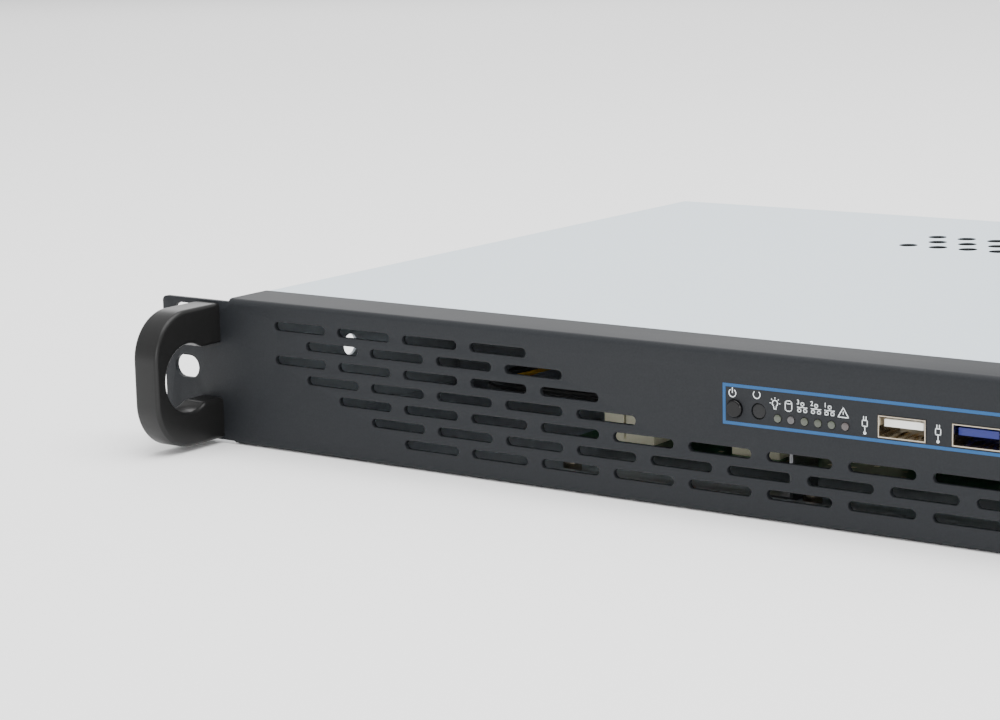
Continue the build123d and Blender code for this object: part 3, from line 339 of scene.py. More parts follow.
@dataclass(frozen=True)
class PuncturedCoat(Finish):
    """A coated sheet whose punched holes' upright walls are painted dark, a painted shade inside the holes.
    """

    # Painted shade: the dark colour painted on the punched holes' inner walls
    hole_shade_colour: Colour = srgb(28, 30, 32)
    holes_from_y: float = 0.055
    holes_to_y: float = 0.088
    holes_half_x: float = 0.1

    def tint(self, board: NodeBoard) -> Socket:
        """The coat, with upright faces inside the punched field in the painted shade colour."""
        place = board.add("SeparateXYZ", i0=board.object_point())
        x, y = place.outputs[0], place.outputs[1]
        normal = board.add("NewGeometry").outputs["Normal"]
        upright = board.sums("LESS_THAN", board.sums(
            "ABSOLUTE", board.add("SeparateXYZ", i0=normal).outputs[2]), 0.5)
        inside = board.times(board.sums("GREATER_THAN", y, self.holes_from_y),
                            board.sums("LESS_THAN", y, self.holes_to_y))
        inside = board.times(inside,
                            board.sums("LESS_THAN", board.sums("ABSOLUTE", x), self.holes_half_x))
        # Upright faces inside the punched field get the painted shade
        return board.mixed(board.times(upright, inside), self.colour, self.hole_shade_colour)


class Look(Enum):
    """Every finish on the appliance."""

    BLACK_COAT = Finish("black_textured_coat", srgb(32, 34, 37), roughness=0.58, grain=0.00055,
                        grain_depth=0.00006, bump=0.35, blotch=0.12, speckle=0.4, specular=0.2)
    GREY_COAT = Finish("grey_satin_coat", srgb(164, 171, 176), roughness=0.42, grain=0.0005,
                       grain_depth=0.00003, bump=0.22, blotch=0.03, speckle=0.05, specular=0.4)
    COVER_COAT = PuncturedCoat("grey_cover_coat", srgb(199, 211, 219), roughness=0.42, grain=0.0005,
                               grain_depth=0.00003, bump=0.22, blotch=0.03, speckle=0.05, specular=0.4)
    ZINC = BrushedSheet("zinc_sheet", srgb(160, 162, 165), roughness=0.34, grain_depth=0.00002, bump=0.25)
    SCREW_ZINC = Finish("zinc_fastener", srgb(168, 168, 166), roughness=0.3, metallic=1.0, grain=0.0004,
                        blotch=0.25, bump=0.2)
    # Nickel tone partly darkened as painted shade, for port rims that stand proud of the panel instead of
    # sitting recessed in shadow
    NICKEL = Finish("nickel_plate", srgb(176, 166, 150), roughness=0.24, metallic=1.0, grain=0.0008,
                    grain_depth=0.00001, blotch=0.15, speckle=0.05, bump=0.15)
    GOLD = Finish("gold_contact", srgb(222, 180, 90), roughness=0.25, metallic=1.0, blotch=0.1, bump=0.1)
    HANDLE = Finish("handle_satin_black", srgb(24, 24, 24), roughness=0.34, grain=0.0006, grain_depth=0.00004,
                    bump=0.25, blotch=0.12, speckle=0.12, specular=0.24)
    GLOSS_BLACK = Finish("gloss_black_button", srgb(12, 12, 13), roughness=0.14, grain_depth=0.000005,
                         bump=0.1, specular=0.25)
    DULL_BLACK = Finish("dull_black_moulding", srgb(24, 24, 25), roughness=0.5, grain=0.0005, bump=0.25,
                        specular=0.3)
    RESET_BLACK = Finish("reset_button_black", srgb(26, 27, 28), roughness=0.38, grain_depth=0.00001,
                         bump=0.15, specular=0.25)
    LENS = StatusLens("status_lens", srgb(126, 132, 116), roughness=0.35, grain_depth=0.00001, bump=0.15,
                      coat=0.5, coat_roughness=0.15, speckle=0.1)
    WHITE_PLASTIC = Finish("white_moulding", srgb(236, 238, 232), blotch=0.03, speckle=0.03)
    BLUE_PLASTIC = Finish("blue_moulding", srgb(0, 18, 104), roughness=0.32, blotch=0.06, speckle=0.04)
    CREAM_PLASTIC = Finish("cream_connector", srgb(226, 223, 198), roughness=0.42, blotch=0.05, speckle=0.04)
    GREEN_BOARD = CircuitBoard("green_board", srgb(22, 82, 44), roughness=0.34, bump=0.2, blotch=0.08,
                               speckle=0.05)
    ALUMINIUM = BrushedSheet("extruded_aluminium", srgb(188, 190, 192), roughness=0.38,
                             line_scale=(2500.0, 60.0, 2500.0), grain_depth=0.00002, bump=0.3)
    DRIVE_CASE = BrushedSheet("drive_case", srgb(150, 152, 156), roughness=0.42, grain_depth=0.00001,
                              bump=0.2)
    WHITE_INK = Finish("white_ink", srgb(226, 232, 234), roughness=0.55, grain_depth=0.00001, bump=0.2,
                       blotch=0.05, speckle=0.08)
    BLUE_INK = Finish("blue_ink", srgb(0, 72, 122), roughness=0.5, grain_depth=0.00001, bump=0.2,
                      blotch=0.08, speckle=0.12)
    WIRE_ORANGE = Finish("orange_insulation", srgb(222, 104, 30))
    WIRE_YELLOW = Finish("yellow_insulation", srgb(226, 172, 32))
    WIRE_RED = Finish("red_insulation", srgb(176, 26, 26))
    WIRE_BLUE = Finish("blue_insulation", srgb(32, 72, 168))
    WIRE_BLACK = Finish("black_insulation", srgb(26, 26, 26))
    CHIP = Finish("chip_epoxy", srgb(32, 33, 35), roughness=0.45, grain=0.0003, bump=0.3, speckle=0.25)
    SOLDER = Finish("solder", srgb(190, 190, 188), roughness=0.35, metallic=1.0, blotch=0.2)


# ---- mesh helpers
def paint(mesh: bpy.types.Mesh, look: Look) -> None:
    """Give a mesh one finish and smooth faces."""
    mesh.materials.clear()
    mesh.materials.append(look.value.build())
    for polygon in mesh.polygons:
        polygon.use_smooth = True


def link(name: str, mesh: bpy.types.Mesh, look: Look, body: str = CHASSIS) -> bpy.types.Object:
    """Put a finished mesh in the scene as a piece.

    Args:
        name: the piece's name.
        mesh: its mesh, in place in the row frame.
        look: its finish.
        body: the CAD body that it rides on.

    Returns:
        The new object.
    """
    piece = bpy.data.objects.new(name, mesh)
    bpy.context.scene.collection.objects.link(piece)
    paint(mesh, look)
    mesh.set_sharp_from_angle(angle=SHARP_ANGLE)
    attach(piece, body)
    LOG.info("piece %s rides on %s", name, body)
    return piece


class Shape:
    """A bmesh that grows from operators and becomes one piece."""

    same_height = 1e-7

    def __init__(self) -> None:
        """Start empty."""
        self.mesh = bmesh.new()

    def block(self, size: Sequence[float], centre: Sequence[float],
              turn: Matrix | None = None) -> list[bmesh.types.BMVert]:
        """Add a box of a size, turned about its middle and moved to a centre, and return its points."""
        made = bmesh.ops.create_cube(self.mesh, size=1.0)["verts"]
        bmesh.ops.scale(self.mesh, vec=size, verts=made)
        if turn is not None:
            bmesh.ops.transform(self.mesh, matrix=turn, verts=made)
        bmesh.ops.translate(self.mesh, vec=centre, verts=made)
        return made

    def rounded(self, edges: set[bmesh.types.BMEdge], width: float) -> set[bmesh.types.BMVert]:
        """Round some edges and return the points that this makes."""
        made = bmesh.ops.bevel(self.mesh, geom=list(edges), offset=width, segments=2, profile=0.5,
                               affect="EDGES", material=-1)
        return set(made["verts"])

    def bar(self, low: Point, high: Point, bevel: float = 0.0) -> "Shape":
        """Add a box between two corners, with its edges rounded by bevel."""
        size = [high[axis] - low[axis] for axis in range(3)]
        made = self.block(size, [(high[axis] + low[axis]) / 2 for axis in range(3)])
        if bevel:
            self.rounded({edge for vert in made for edge in vert.link_edges}, bevel)
        return self

    def stroke(self, start: Place, end: Place, width: float, back: float, front: float) -> "Shape":
        """Add a straight printed stroke on a panel that faces -Y, from (x, z) to (x, z)."""
        across = Vector((end[0] - start[0], 0.0, end[1] - start[1]))
        middle = ((start[0] + end[0]) / 2, (back + front) / 2, (start[1] + end[1]) / 2)
        self.block((across.length + width, back - front, width), middle,
                   Matrix.Rotation(-math.atan2(across.z, across.x), 4, "Y"))
        return self

    def arc(self, centre: Place, radius: float, width: float, start: float, sweep: float,
            back: float, front: float, steps: int = 20) -> "Shape":
        """Add a printed arc on a panel that faces -Y, angles in degrees from +X towards +Z."""
        made = bmesh.ops.create_grid(self.mesh, x_segments=1, y_segments=1, size=0.5)["verts"]
        bmesh.ops.transform(self.mesh, matrix=Matrix.Rotation(math.radians(90), 4, "Z"), verts=made)
        bmesh.ops.scale(self.mesh, vec=(width, back - front, 1.0), verts=made)
        bmesh.ops.translate(self.mesh, vec=(radius, (back + front) / 2, 0.0), verts=made)
        bmesh.ops.transform(self.mesh, matrix=Matrix.Rotation(-math.radians(start), 4, "Y"), verts=made)
        bmesh.ops.translate(self.mesh, vec=(centre[0], 0.0, centre[1]), verts=made)
        faces = list({face for vert in made for face in vert.link_faces})
        edges = list({edge for vert in made for edge in vert.link_edges})
        closed = abs(sweep) >= 360
        bmesh.ops.spin(self.mesh, geom=faces + made + edges, cent=(centre[0], 0.0, centre[1]),
                       axis=(0.0, -1.0, 0.0), angle=math.radians(sweep), steps=steps, use_merge=closed)
        if closed:
            bmesh.ops.delete(self.mesh, geom=[face for face in faces if face.is_valid], context="FACES_ONLY")
        return self

    def disc(self, centre: Point, radius: float, depth: float, bevel: float = 0.0,
             segments: int = 32) -> "Shape":
        """Add a round plug about Y, centred on a point."""
        made = bmesh.ops.create_cone(self.mesh, cap_ends=True, segments=segments, radius1=radius,
                                     radius2=radius, depth=depth)["verts"]
        if bevel:
            rims = {edge for vert in made for edge in vert.link_edges
                    if abs(edge.verts[0].co.z - edge.verts[1].co.z) < self.same_height}
            new = self.rounded(rims, bevel)
            made = list({vert for vert in made if vert.is_valid} | new)
        turn = Matrix.Translation(centre) @ Matrix.Rotation(math.radians(90), 4, "X")
        bmesh.ops.transform(self.mesh, matrix=turn, verts=made)
        return self

    def finish(self, name: str, look: Look, slot: str, body: str = CHASSIS) -> bpy.types.Object:
        """Merge doubles, point the faces outwards and make the piece."""
        bmesh.ops.remove_doubles(self.mesh, verts=self.mesh.verts, dist=self.same_height)
        bmesh.ops.recalc_face_normals(self.mesh, faces=self.mesh.faces)
        mesh = bpy.data.meshes.new(name)
        self.mesh.to_mesh(mesh)
        self.mesh.free()
        return link(name, mesh, look, body)


def row_of(count: int, pitch: float) -> list[float]:
    """Offsets of evenly spaced things from their middle."""
    return [(index - (count - 1) / 2) * pitch for index in range(count)]


def curve_mesh(curve: bpy.types.Curve) -> bpy.types.Mesh:
    """Turn a curve into a mesh and drop the curve."""
    source = bpy.data.objects.new("curve_source", curve)
    bpy.context.scene.collection.objects.link(source)
    bpy.context.view_layer.update()
    mesh = bpy.data.meshes.new_from_object(source)
    bpy.data.objects.remove(source)
    bpy.data.curves.remove(curve)
    return mesh


def dress(node: str, look: Look, bevel: float = 0.0, smooth_angle: float = 30.0) -> None:
    """Give a CAD node its finish, smooth its round faces and soften its edges.

    Args:
        node: the node's name.
        look: its finish.
        bevel: width of the softened edges in metres, 0 for none.
        smooth_angle: edges sharper than this stay sharp, in degrees.
    """
    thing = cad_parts[node]
    paint(thing.data, look)
    weld = thing.modifiers.new("weld", "WELD")
    weld.merge_threshold = 2e-6
    if bevel:
        soften = thing.modifiers.new("soften", "BEVEL")
        soften.width = bevel
        soften.segments = 2
        soften.limit_method = "ANGLE"
        soften.angle_limit = math.radians(50)
        soften.harden_normals = False
    crease = thing.modifiers.new("crease", "EDGE_SPLIT")
    crease.split_angle = math.radians(smooth_angle)
    LOG.info("node %s dressed as %s", node, look.name)


# ---- sub-assemblies
@dataclass(frozen=True)
class Coat:
    """One finish for some CAD nodes: edge is their softened edges' width, in metres.

    Edges that turn by more than smooth_angle, in degrees, stay sharp.
    """

    look: Look
    nodes: tuple[str, ...]
    edge: float = 0.0
    smooth_angle: float = 30.0


Coats = tuple[Coat, ...]


class Assembly:
    """A sub-assembly: CAD nodes that get their finishes, and finer pieces added to them."""

    coats: Coats = ()

    def dress(self) -> None:
        """Finish the CAD nodes."""
        for coat in self.coats:
            for node in coat.nodes:
                dress(node, coat.look, coat.edge, coat.smooth_angle)

    def build(self) -> None:
        """Add the finer pieces, where there are any."""


@dataclass
class SheetMetal(Assembly):
    """Folded sheet parts of the chassis and their fasteners."""

    coats: Coats = (
        Coat(Look.BLACK_COAT, ("front_panel",), 0.15 * MM),
        Coat(Look.COVER_COAT, ("top_cover",)),
        Coat(Look.GREY_COAT, ("chassis_tray", "rear_panel", "blank_plate"), 0.15 * MM),
        Coat(Look.ZINC, ("front_io_bracket", "drive_bracket", "psu_case", "psu_lid")),
        Coat(Look.SCREW_ZINC, ("flange_screws", "handle_screws", "front_io_screws", "board_screws"),
             0.1 * MM),
        Coat(Look.NICKEL, ("io_shield",)),
        Coat(Look.NICKEL, ("board_standoffs",), 0.1 * MM))
    stem_radius: float = 1.5 * MM
    stem_end: float = 5.0 * MM
    head_length: float = 6.0 * MM
    collar_length: float = 1.4 * MM
    collar_share: float = 0.8
    rim_share: float = 0.93
    rim_short: float = 1.6 * MM
    tooth_count: int = 30
    tooth_size: float = 0.4 * MM
    tooth_short: float = 2.6 * MM
    tooth_share: float = 0.955
    teeth_back: float = 0.2 * MM
    slot_reach: float = 2.6 * MM
    slot_half_width: float = 0.35 * MM
    slot_depths: Place = (0.65 * MM, 0.45 * MM)

    def build(self) -> None:
        """Knurled heads in place of the two plain ones."""
        low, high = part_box("cover_thumbscrews")
        radius = (high[2] - low[2]) / 2
        centre_z = (high[2] + low[2]) / 2
        stem_back = high[1] - self.stem_end
        shape = Shape()
        for x in (low[0] + radius, high[0] - radius):
            self.knurled_head(shape, x, centre_z, radius, high[1])
            shape.disc((x, (low[1] + stem_back) / 2, centre_z), self.stem_radius, stem_back - low[1],
                       bevel=0.2 * MM)
        piece = shape.finish("thumbscrew_heads", Look.SCREW_ZINC, "screw_zinc", "cover")
        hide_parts("cover_thumbscrews")

    def knurled_head(self, shape: Shape, x: float, z: float, radius: float, end_y: float) -> None:
        """One head about Y: a toothed rim with a turned collar and a driver slot."""
        middle_y = end_y - self.head_length / 2 + self.teeth_back
        shape.disc((x, end_y - self.head_length + self.collar_length / 2, z), radius * self.collar_share,
                   self.collar_length, bevel=0.2 * MM)
        shape.disc((x, middle_y, z), radius * self.rim_share, self.head_length - self.rim_short,
                   bevel=0.4 * MM, segments=48)
        tooth = (self.tooth_size, self.head_length - self.tooth_short, self.tooth_size)
        for index in range(self.tooth_count):
            angle = 2 * math.pi * index / self.tooth_count
            out = radius * self.tooth_share
            shape.block(tooth, (x + out * math.cos(angle), middle_y, z + out * math.sin(angle)),
                        Matrix.Rotation(math.pi / 4 - angle, 4, "Y"))
        deep, shallow = self.slot_depths
        wide, narrow = self.slot_reach, self.slot_half_width
        for half_x, half_z in ((narrow, wide), (wide, narrow)):
            shape.bar((x - half_x, end_y - deep, z - half_z), (x + half_x, end_y - shallow, z + half_z))


@dataclass
class Handles(Assembly):
    """The two moulded pull handles."""

    coats: Coats = (Coat(Look.HANDLE, ("handle_left", "handle_right"), smooth_angle=40.0),)


@dataclass
class FrontControls(Assembly):
    """Buttons, lamps and ports behind the front panel."""

    coats: Coats = (
        Coat(Look.GLOSS_BLACK, ("power_button",)),
        Coat(Look.RESET_BLACK, ("reset_button",)),
        Coat(Look.LENS, ("light_pipes",), 0.15 * MM),
        Coat(Look.WHITE_PLASTIC, ("front_leds",)),
        Coat(Look.DULL_BLACK, ("front_switches",), 0.2 * MM),
        Coat(Look.GREEN_BOARD, ("front_io_board",)),
        Coat(Look.NICKEL, ("usb2_shell", "usb3_shell"), 0.08 * MM),
        Coat(Look.WHITE_PLASTIC, ("usb2_tongue",), 0.1 * MM),
        Coat(Look.BLUE_PLASTIC, ("usb3_tongue",), 0.1 * MM))
    contact_count: int = 4
    contact_width: float = 1.0 * MM
    contact_pitch: float = 2.3 * MM
    contact_front: float = 0.6 * MM
    contact_back: float = 2.7 * MM
    tongue_below_middle: float = 0.1 * MM
    contact_heights: Place = (0.12 * MM, 0.02 * MM)
    leaf_offset: float = 3.2 * MM
    leaf_front: float = 2.2 * MM
    leaf_off_wall: float = 0.35 * MM
    leaf_width: float = 2.0 * MM
    leaf_length: float = 6.0 * MM
    leaf_bow: float = 0.45 * MM
    leaf_thickness: float = 0.12 * MM

    def build(self) -> None:
        """Add the ports' contacts and spring leaves."""
        contacts, springs = Shape(), Shape()
        below, above = self.contact_heights
        half = self.contact_width / 2
        for node in ("usb2", "usb3"):
            low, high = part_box(f"{node}_tongue")
            shell_low, shell_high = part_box(f"{node}_shell")
            middle = (low[0] + high[0]) / 2
            tongue_low = (shell_low[2] + shell_high[2]) / 2 - self.tongue_below_middle
            for offset in row_of(self.contact_count, self.contact_pitch):
                x = middle + offset
                contacts.bar((x - half, low[1] + self.contact_front, tongue_low - below),
                             (x + half, high[1] - self.contact_back, tongue_low + above), 0.04 * MM)
            for offset in (-self.leaf_offset, self.leaf_offset):
                for wall, side in ((shell_low[2], 1.0), (shell_high[2], -1.0)):
                    self.leaf(springs, middle + offset, shell_low[1] + self.leaf_front,
                              wall + side * self.leaf_off_wall, side)
        contacts.finish("port_contacts", Look.GOLD, "nickel")
        springs.finish("port_springs", Look.NICKEL, "nickel")

    def leaf(self, shape: Shape, x: float, y: float, z: float, side: float) -> None:
        """One sprung tab that bows into the port from its floor or its roof."""
        made = bmesh.ops.create_grid(shape.mesh, x_segments=2, y_segments=8, size=0.5)["verts"]
        bmesh.ops.scale(shape.mesh, vec=(self.leaf_width, self.leaf_length, 1.0), verts=made)
        reach = self.leaf_length / 2
        for vert in made:
            along = vert.co.y / reach
            vert.co.z = side * self.leaf_bow * max(0.0, 1 - along * along)
        bmesh.ops.translate(shape.mesh, vec=(x, y + reach, z), verts=made)
        faces = list({face for vert in made for face in vert.link_faces})
        bmesh.ops.solidify(shape.mesh, geom=faces, thickness=self.leaf_thickness)


class Symbol(Enum):
    """Straight strokes of each printed symbol: lines of points, in millimetres from its middle."""

    LAMP = (((-0.35, -0.6), (-0.35, -1.05)), ((0.35, -0.6), (0.35, -1.05)), ((-0.35, -1.15), (0.35, -1.15)))
    DRUM = (((-0.95, -0.95), (-0.95, 0.95)), ((0.95, -0.95), (0.95, 0.95)),
            ((-0.95, 0.95), (-0.475, 1.33), (0.475, 1.33), (0.95, 0.95)),
            ((-0.95, 0.95), (-0.475, 0.57), (0.475, 0.57), (0.95, 0.95)),
            ((-0.95, -0.95), (-0.475, -1.33), (0.475, -1.33), (0.95, -0.95)))
    NETWORK = (((-0.27, 0.59), (0.57, 0.59), (0.57, 1.31), (-0.27, 1.31), (-0.27, 0.59)),
               ((0.15, 0.5), (0.15, 0.1)), ((-1.25, 0.1), (1.45, 0.1)),
               ((-0.75, 0.1), (-0.75, -0.25)), ((0.95, 0.1), (0.95, -0.25)),
               ((-1.2, -1.06), (-0.3, -1.06), (-0.3, -0.34), (-1.2, -0.34), (-1.2, -1.06)),
               ((0.5, -1.06), (1.4, -1.06), (1.4, -0.34), (0.5, -0.34), (0.5, -1.06)))
    WARNING = (((-1.5, -1.15), (0.0, 1.3), (1.5, -1.15), (-1.5, -1.15)),)
    WARNING_BAR = (((0.0, 0.25), (0.0, -0.35)),)
    POWER = (((0.0, 0.1), (0.0, 1.35)),)
    PLUG = (((-0.7, -0.4), (0.7, -0.4), (0.7, 1.1), (-0.7, 1.1), (-0.7, -0.4)),
            ((-0.35, 1.3), (-0.35, 2.0)), ((0.35, 1.3), (0.35, 2.0)), ((0.0, -0.5), (0.0, -2.0)))


@dataclass
class FrontMarks(Assembly):
    """Printed outline and symbols round the front controls, placed as (x, z)."""

    proud: float = 0.03 * MM
    sunk: float = 0.05 * MM
    outline: float = 0.85 * MM
    half_width: float = 45.9 * MM
    low: float = 24.15 * MM
    high: float = 34.9 * MM
    side_setback: float = 0.001 * MM
    line: float = 0.23 * MM
    thin_share: float = 0.8
    power: Place = (-43.0 * MM, 32.45 * MM)
    reset: Place = (-35.8 * MM, 32.7 * MM)
    bulb: Place = (-30.45 * MM, 30.7 * MM)
    drum: Place = (-26.5 * MM, 30.7 * MM)
    network: tuple[float, ...] = (-22.65 * MM, -18.7 * MM, -14.85 * MM)
    network_height: float = 30.6 * MM
    warning: Place = (-10.85 * MM, 30.55 * MM)
    ports: tuple[float, ...] = (-4.8 * MM, 15.3 * MM)
    port_height: float = 28.2 * MM
    # Radius, start angle and sweep of each round stroke
    power_ring: Ring = (1.02 * MM, 122.0, 296.0)
    reset_ring: Ring = (1.0 * MM, 130.0, 280.0)
    bulb_ring: Ring = (0.78 * MM, -60.0, 300.0)
    bulb_rise: float = 0.3 * MM
    ray_reach: Place = (1.25 * MM, 1.45 * MM)
    lead_radius: float = 0.42 * MM
    lead_drop: float = 2.1 * MM
    digit_size: float = 1.75 * MM
    digit_offset: Place = (-1.12 * MM, 1.35 * MM)
    shape: Shape = field(default_factory=Shape)

    def depths(self) -> Place:
        """Back and front of the ink, either side of the panel's face."""
        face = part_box("front_panel")[0][1]
        return face + self.sunk, face - self.proud

    def draw(self, symbol: Symbol, centre: Place, width: float | None = None) -> None:
        """Print a symbol's straight strokes in white round a place."""
        for line in symbol.value:
            points = [(centre[0] + x * MM, centre[1] + z * MM) for x, z in line]
            for start, end in zip(points, points[1:]):
                self.shape.stroke(start, end, width or self.line, *self.depths())

    def arc(self, centre: Place, ring: Ring) -> None:
        """Print a round stroke in white."""
        radius, start, sweep = ring
        self.shape.arc(centre, radius, self.line, start, sweep, *self.depths())

    def build(self) -> None:
        """Make the blue outline, the white symbols and the digits."""
        self.draw_outline()
        self.arc(self.power, self.power_ring)
        self.draw(Symbol.POWER, self.power)
        self.arc(self.reset, self.reset_ring)
        self.draw_bulb()
        self.draw(Symbol.DRUM, self.drum)
        for x in self.network:
            self.draw(Symbol.NETWORK, (x, self.network_height))
        self.draw(Symbol.WARNING, self.warning)
        self.draw(Symbol.WARNING_BAR, self.warning, self.line * self.thin_share)
        for x in self.ports:
            self.draw(Symbol.PLUG, (x, self.port_height))
            self.shape.disc((x, sum(self.depths()) / 2, self.port_height - self.lead_drop),
                            self.lead_radius, self.proud + self.sunk)
        self.shape.finish("control_symbols", Look.WHITE_INK, "black_coat")
        for x, digit in zip(self.network, "321"):
            self.draw_digit(digit, (x + self.digit_offset[0], self.network_height + self.digit_offset[1]))

    def draw_outline(self) -> None:
        """The blue outline, as four bars."""
        outline = Shape()
        half = self.outline / 2
        back, front = self.depths()
        for z in (self.low + half, self.high - half):
            outline.bar((-self.half_width, front, z - half), (self.half_width, back, z + half))
        for x in (half - self.half_width, self.half_width - half):
            outline.bar((x - half, front + self.side_setback, self.low + half),
                        (x + half, back, self.high - half))
        outline.finish("control_outline", Look.BLUE_INK, "black_coat")

    def draw_bulb(self) -> None:
        """A lamp with five rays round its upper half."""
        x, z = self.bulb[0], self.bulb[1] + self.bulb_rise
        self.arc((x, z), self.bulb_ring)
        self.draw(Symbol.LAMP, self.bulb)
        for angle in range(0, 181, 45):
            cosine, sine = math.cos(math.radians(angle)), math.sin(math.radians(angle))
            near, far = [(x + reach * cosine, z + reach * sine) for reach in self.ray_reach]
            self.shape.stroke(near, far, self.line * self.thin_share, *self.depths())

    def draw_digit(self, digit: str, centre: Place) -> None:
        """A small printed digit, turned to face the front."""
        curve = bpy.data.curves.new(f"digit_{digit}_text", "FONT")
        curve.body = digit
        curve.size = self.digit_size
        curve.align_x = "CENTER"
        curve.align_y = "CENTER"
        curve.extrude = (self.proud + self.sunk) / 2
        mesh = curve_mesh(curve)
        place = (centre[0], sum(self.depths()) / 2, centre[1])
        mesh.transform(Matrix.Translation(place) @ Matrix.Rotation(math.pi / 2, 4, "X"))
        link(f"digit_{digit}", mesh, Look.WHITE_INK)


@dataclass
class MainBoard(Assembly):
    """The main board, its cooler, memory and connectors."""

    coats: Coats = (
        Coat(Look.GREEN_BOARD, ("main_board", "memory_modules")),
        Coat(Look.ALUMINIUM, ("cpu_heatsink", "chipset_heatsink", "board_capacitors")),
        Coat(Look.DULL_BLACK, ("cpu_fan_frame",), 0.3 * MM),
        Coat(Look.DULL_BLACK, ("cpu_fan_rotor",)),
        Coat(Look.DULL_BLACK, ("memory_sockets",), 0.2 * MM),
        Coat(Look.CREAM_PLASTIC, ("board_connectors",), 0.2 * MM),
        Coat(Look.CREAM_PLASTIC, ("power_plug",), 0.3 * MM),
        Coat(Look.CHIP, ("board_chips",), 0.1 * MM),
        Coat(Look.NICKEL, ("coin_cell",), 0.3 * MM))
    seed: int = 7
    small_parts: int = 210
    part_sizes: tuple[Place, ...] = ((1.6, 0.8), (2.0, 1.2), (3.2, 1.6))
    part_height: float = 0.6 * MM
    # How far small parts stay off the board's sides, its front, its back and what stands on it
    side_margin: float = 4.0 * MM
    front_margin: float = 14.0 * MM
    back_margin: float = 24.0 * MM
    clearance: float = 2.0 * MM
    crowded: tuple[str, ...] = ("cpu_heatsink", "chipset_heatsink", "memory_sockets", "memory_modules",
                                "coin_cell", "console_jack", "lan_jack_1", "lan_jack_2", "lan_jack_3",
                                "usb_stack", "front_wires")
    solder_inset: float = 0.12 * MM
    solder_half: float = 0.22 * MM
    solder_lip: float = 0.05 * MM
    solder_height: float = 0.64 * MM
    coil_count: int = 5
    coil_size: Point = (7.0 * MM, 7.0 * MM, 4.5 * MM)
    coil_corner: Place = (-41.0 * MM, -38.0 * MM)
    coil_pitch: float = 10.0 * MM
    memory_row_pitch: float = 42.0 * MM
    memory_depth: float = 30.0 * MM
    package_count: int = 4
    package_pitch: float = 15.5 * MM
    package_left: float = 6.0 * MM
    package_back: float = 22.0 * MM
    package_size: Place = (10.5 * MM, 14.0 * MM)
    package_skin: float = 0.06 * MM
    package_heights: Place = (-0.95 * MM, 0.08 * MM)

    def build(self) -> None:
        """Add the small surface parts, the memory packages and the coils beside the processor."""
        low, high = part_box("main_board")
        self.surface_parts(low, high)
        self.memory_packages()
        coils = Shape()
        (x, y), (length, width, height) = self.coil_corner, self.coil_size
        for index in range(self.coil_count):
            near = y + index * self.coil_pitch
            coils.bar((x, near, high[2]), (x + length, near + width, high[2] + height), 0.6 * MM)
        coils.finish("power_coils", Look.CHIP, "black_plastic")

    def surface_parts(self, low: Point, high: Point) -> None:
        """Scatter small parts over the board between two corners, clear of what stands on it."""
        top = high[2]
        keep_clear = [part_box(node) for node in self.crowded]
        draw = random.Random(self.seed)
        resistors, solder = Shape(), Shape()
        placed = 0
        while placed < self.small_parts:
            x = draw.uniform(low[0] + self.side_margin, high[0] - self.side_margin)
            y = draw.uniform(low[1] + self.front_margin, high[1] - self.back_margin)
            length, width = draw.choice(self.part_sizes)
            if draw.random() < 0.5:
                length, width = width, length
            if any(a[0] - self.clearance < x < b[0] + self.clearance
                   and a[1] - self.clearance < y < b[1] + self.clearance for a, b in keep_clear):
                continue
            half_x, half_y = length * MM / 2, width * MM / 2
            resistors.bar((x - half_x, y - half_y, top), (x + half_x, y + half_y, top + self.part_height))
            if length > width:
                reach_y = half_y + self.solder_lip
                for side in (-1, 1):
                    end = x + side * (half_x - self.solder_inset)
                    solder.bar((end - self.solder_half, y - reach_y, top),
                               (end + self.solder_half, y + reach_y, top + self.solder_height))
            placed += 1
        resistors.finish("surface_parts", Look.CHIP, "black_plastic")
        solder.finish("solder_ends", Look.SOLDER, "nickel")

    def memory_packages(self) -> None:
        """Dark packages over the plain blocks of both memory modules."""
        low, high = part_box("memory_modules")
        packages = Shape()
        length, width = self.package_size
        skin, (below, above) = self.package_skin, self.package_heights
        for row_back in (high[1], high[1] - self.memory_row_pitch):
            far = row_back - self.memory_depth + self.package_back
            for index in range(self.package_count):
                x = low[0] + self.package_left + index * self.package_pitch
                packages.bar((x - skin, far - width - skin, high[2] + below),
                             (x + length + skin, far + skin, high[2] + above), 0.1 * MM)
        packages.finish("memory_packages", Look.CHIP, "black_plastic")


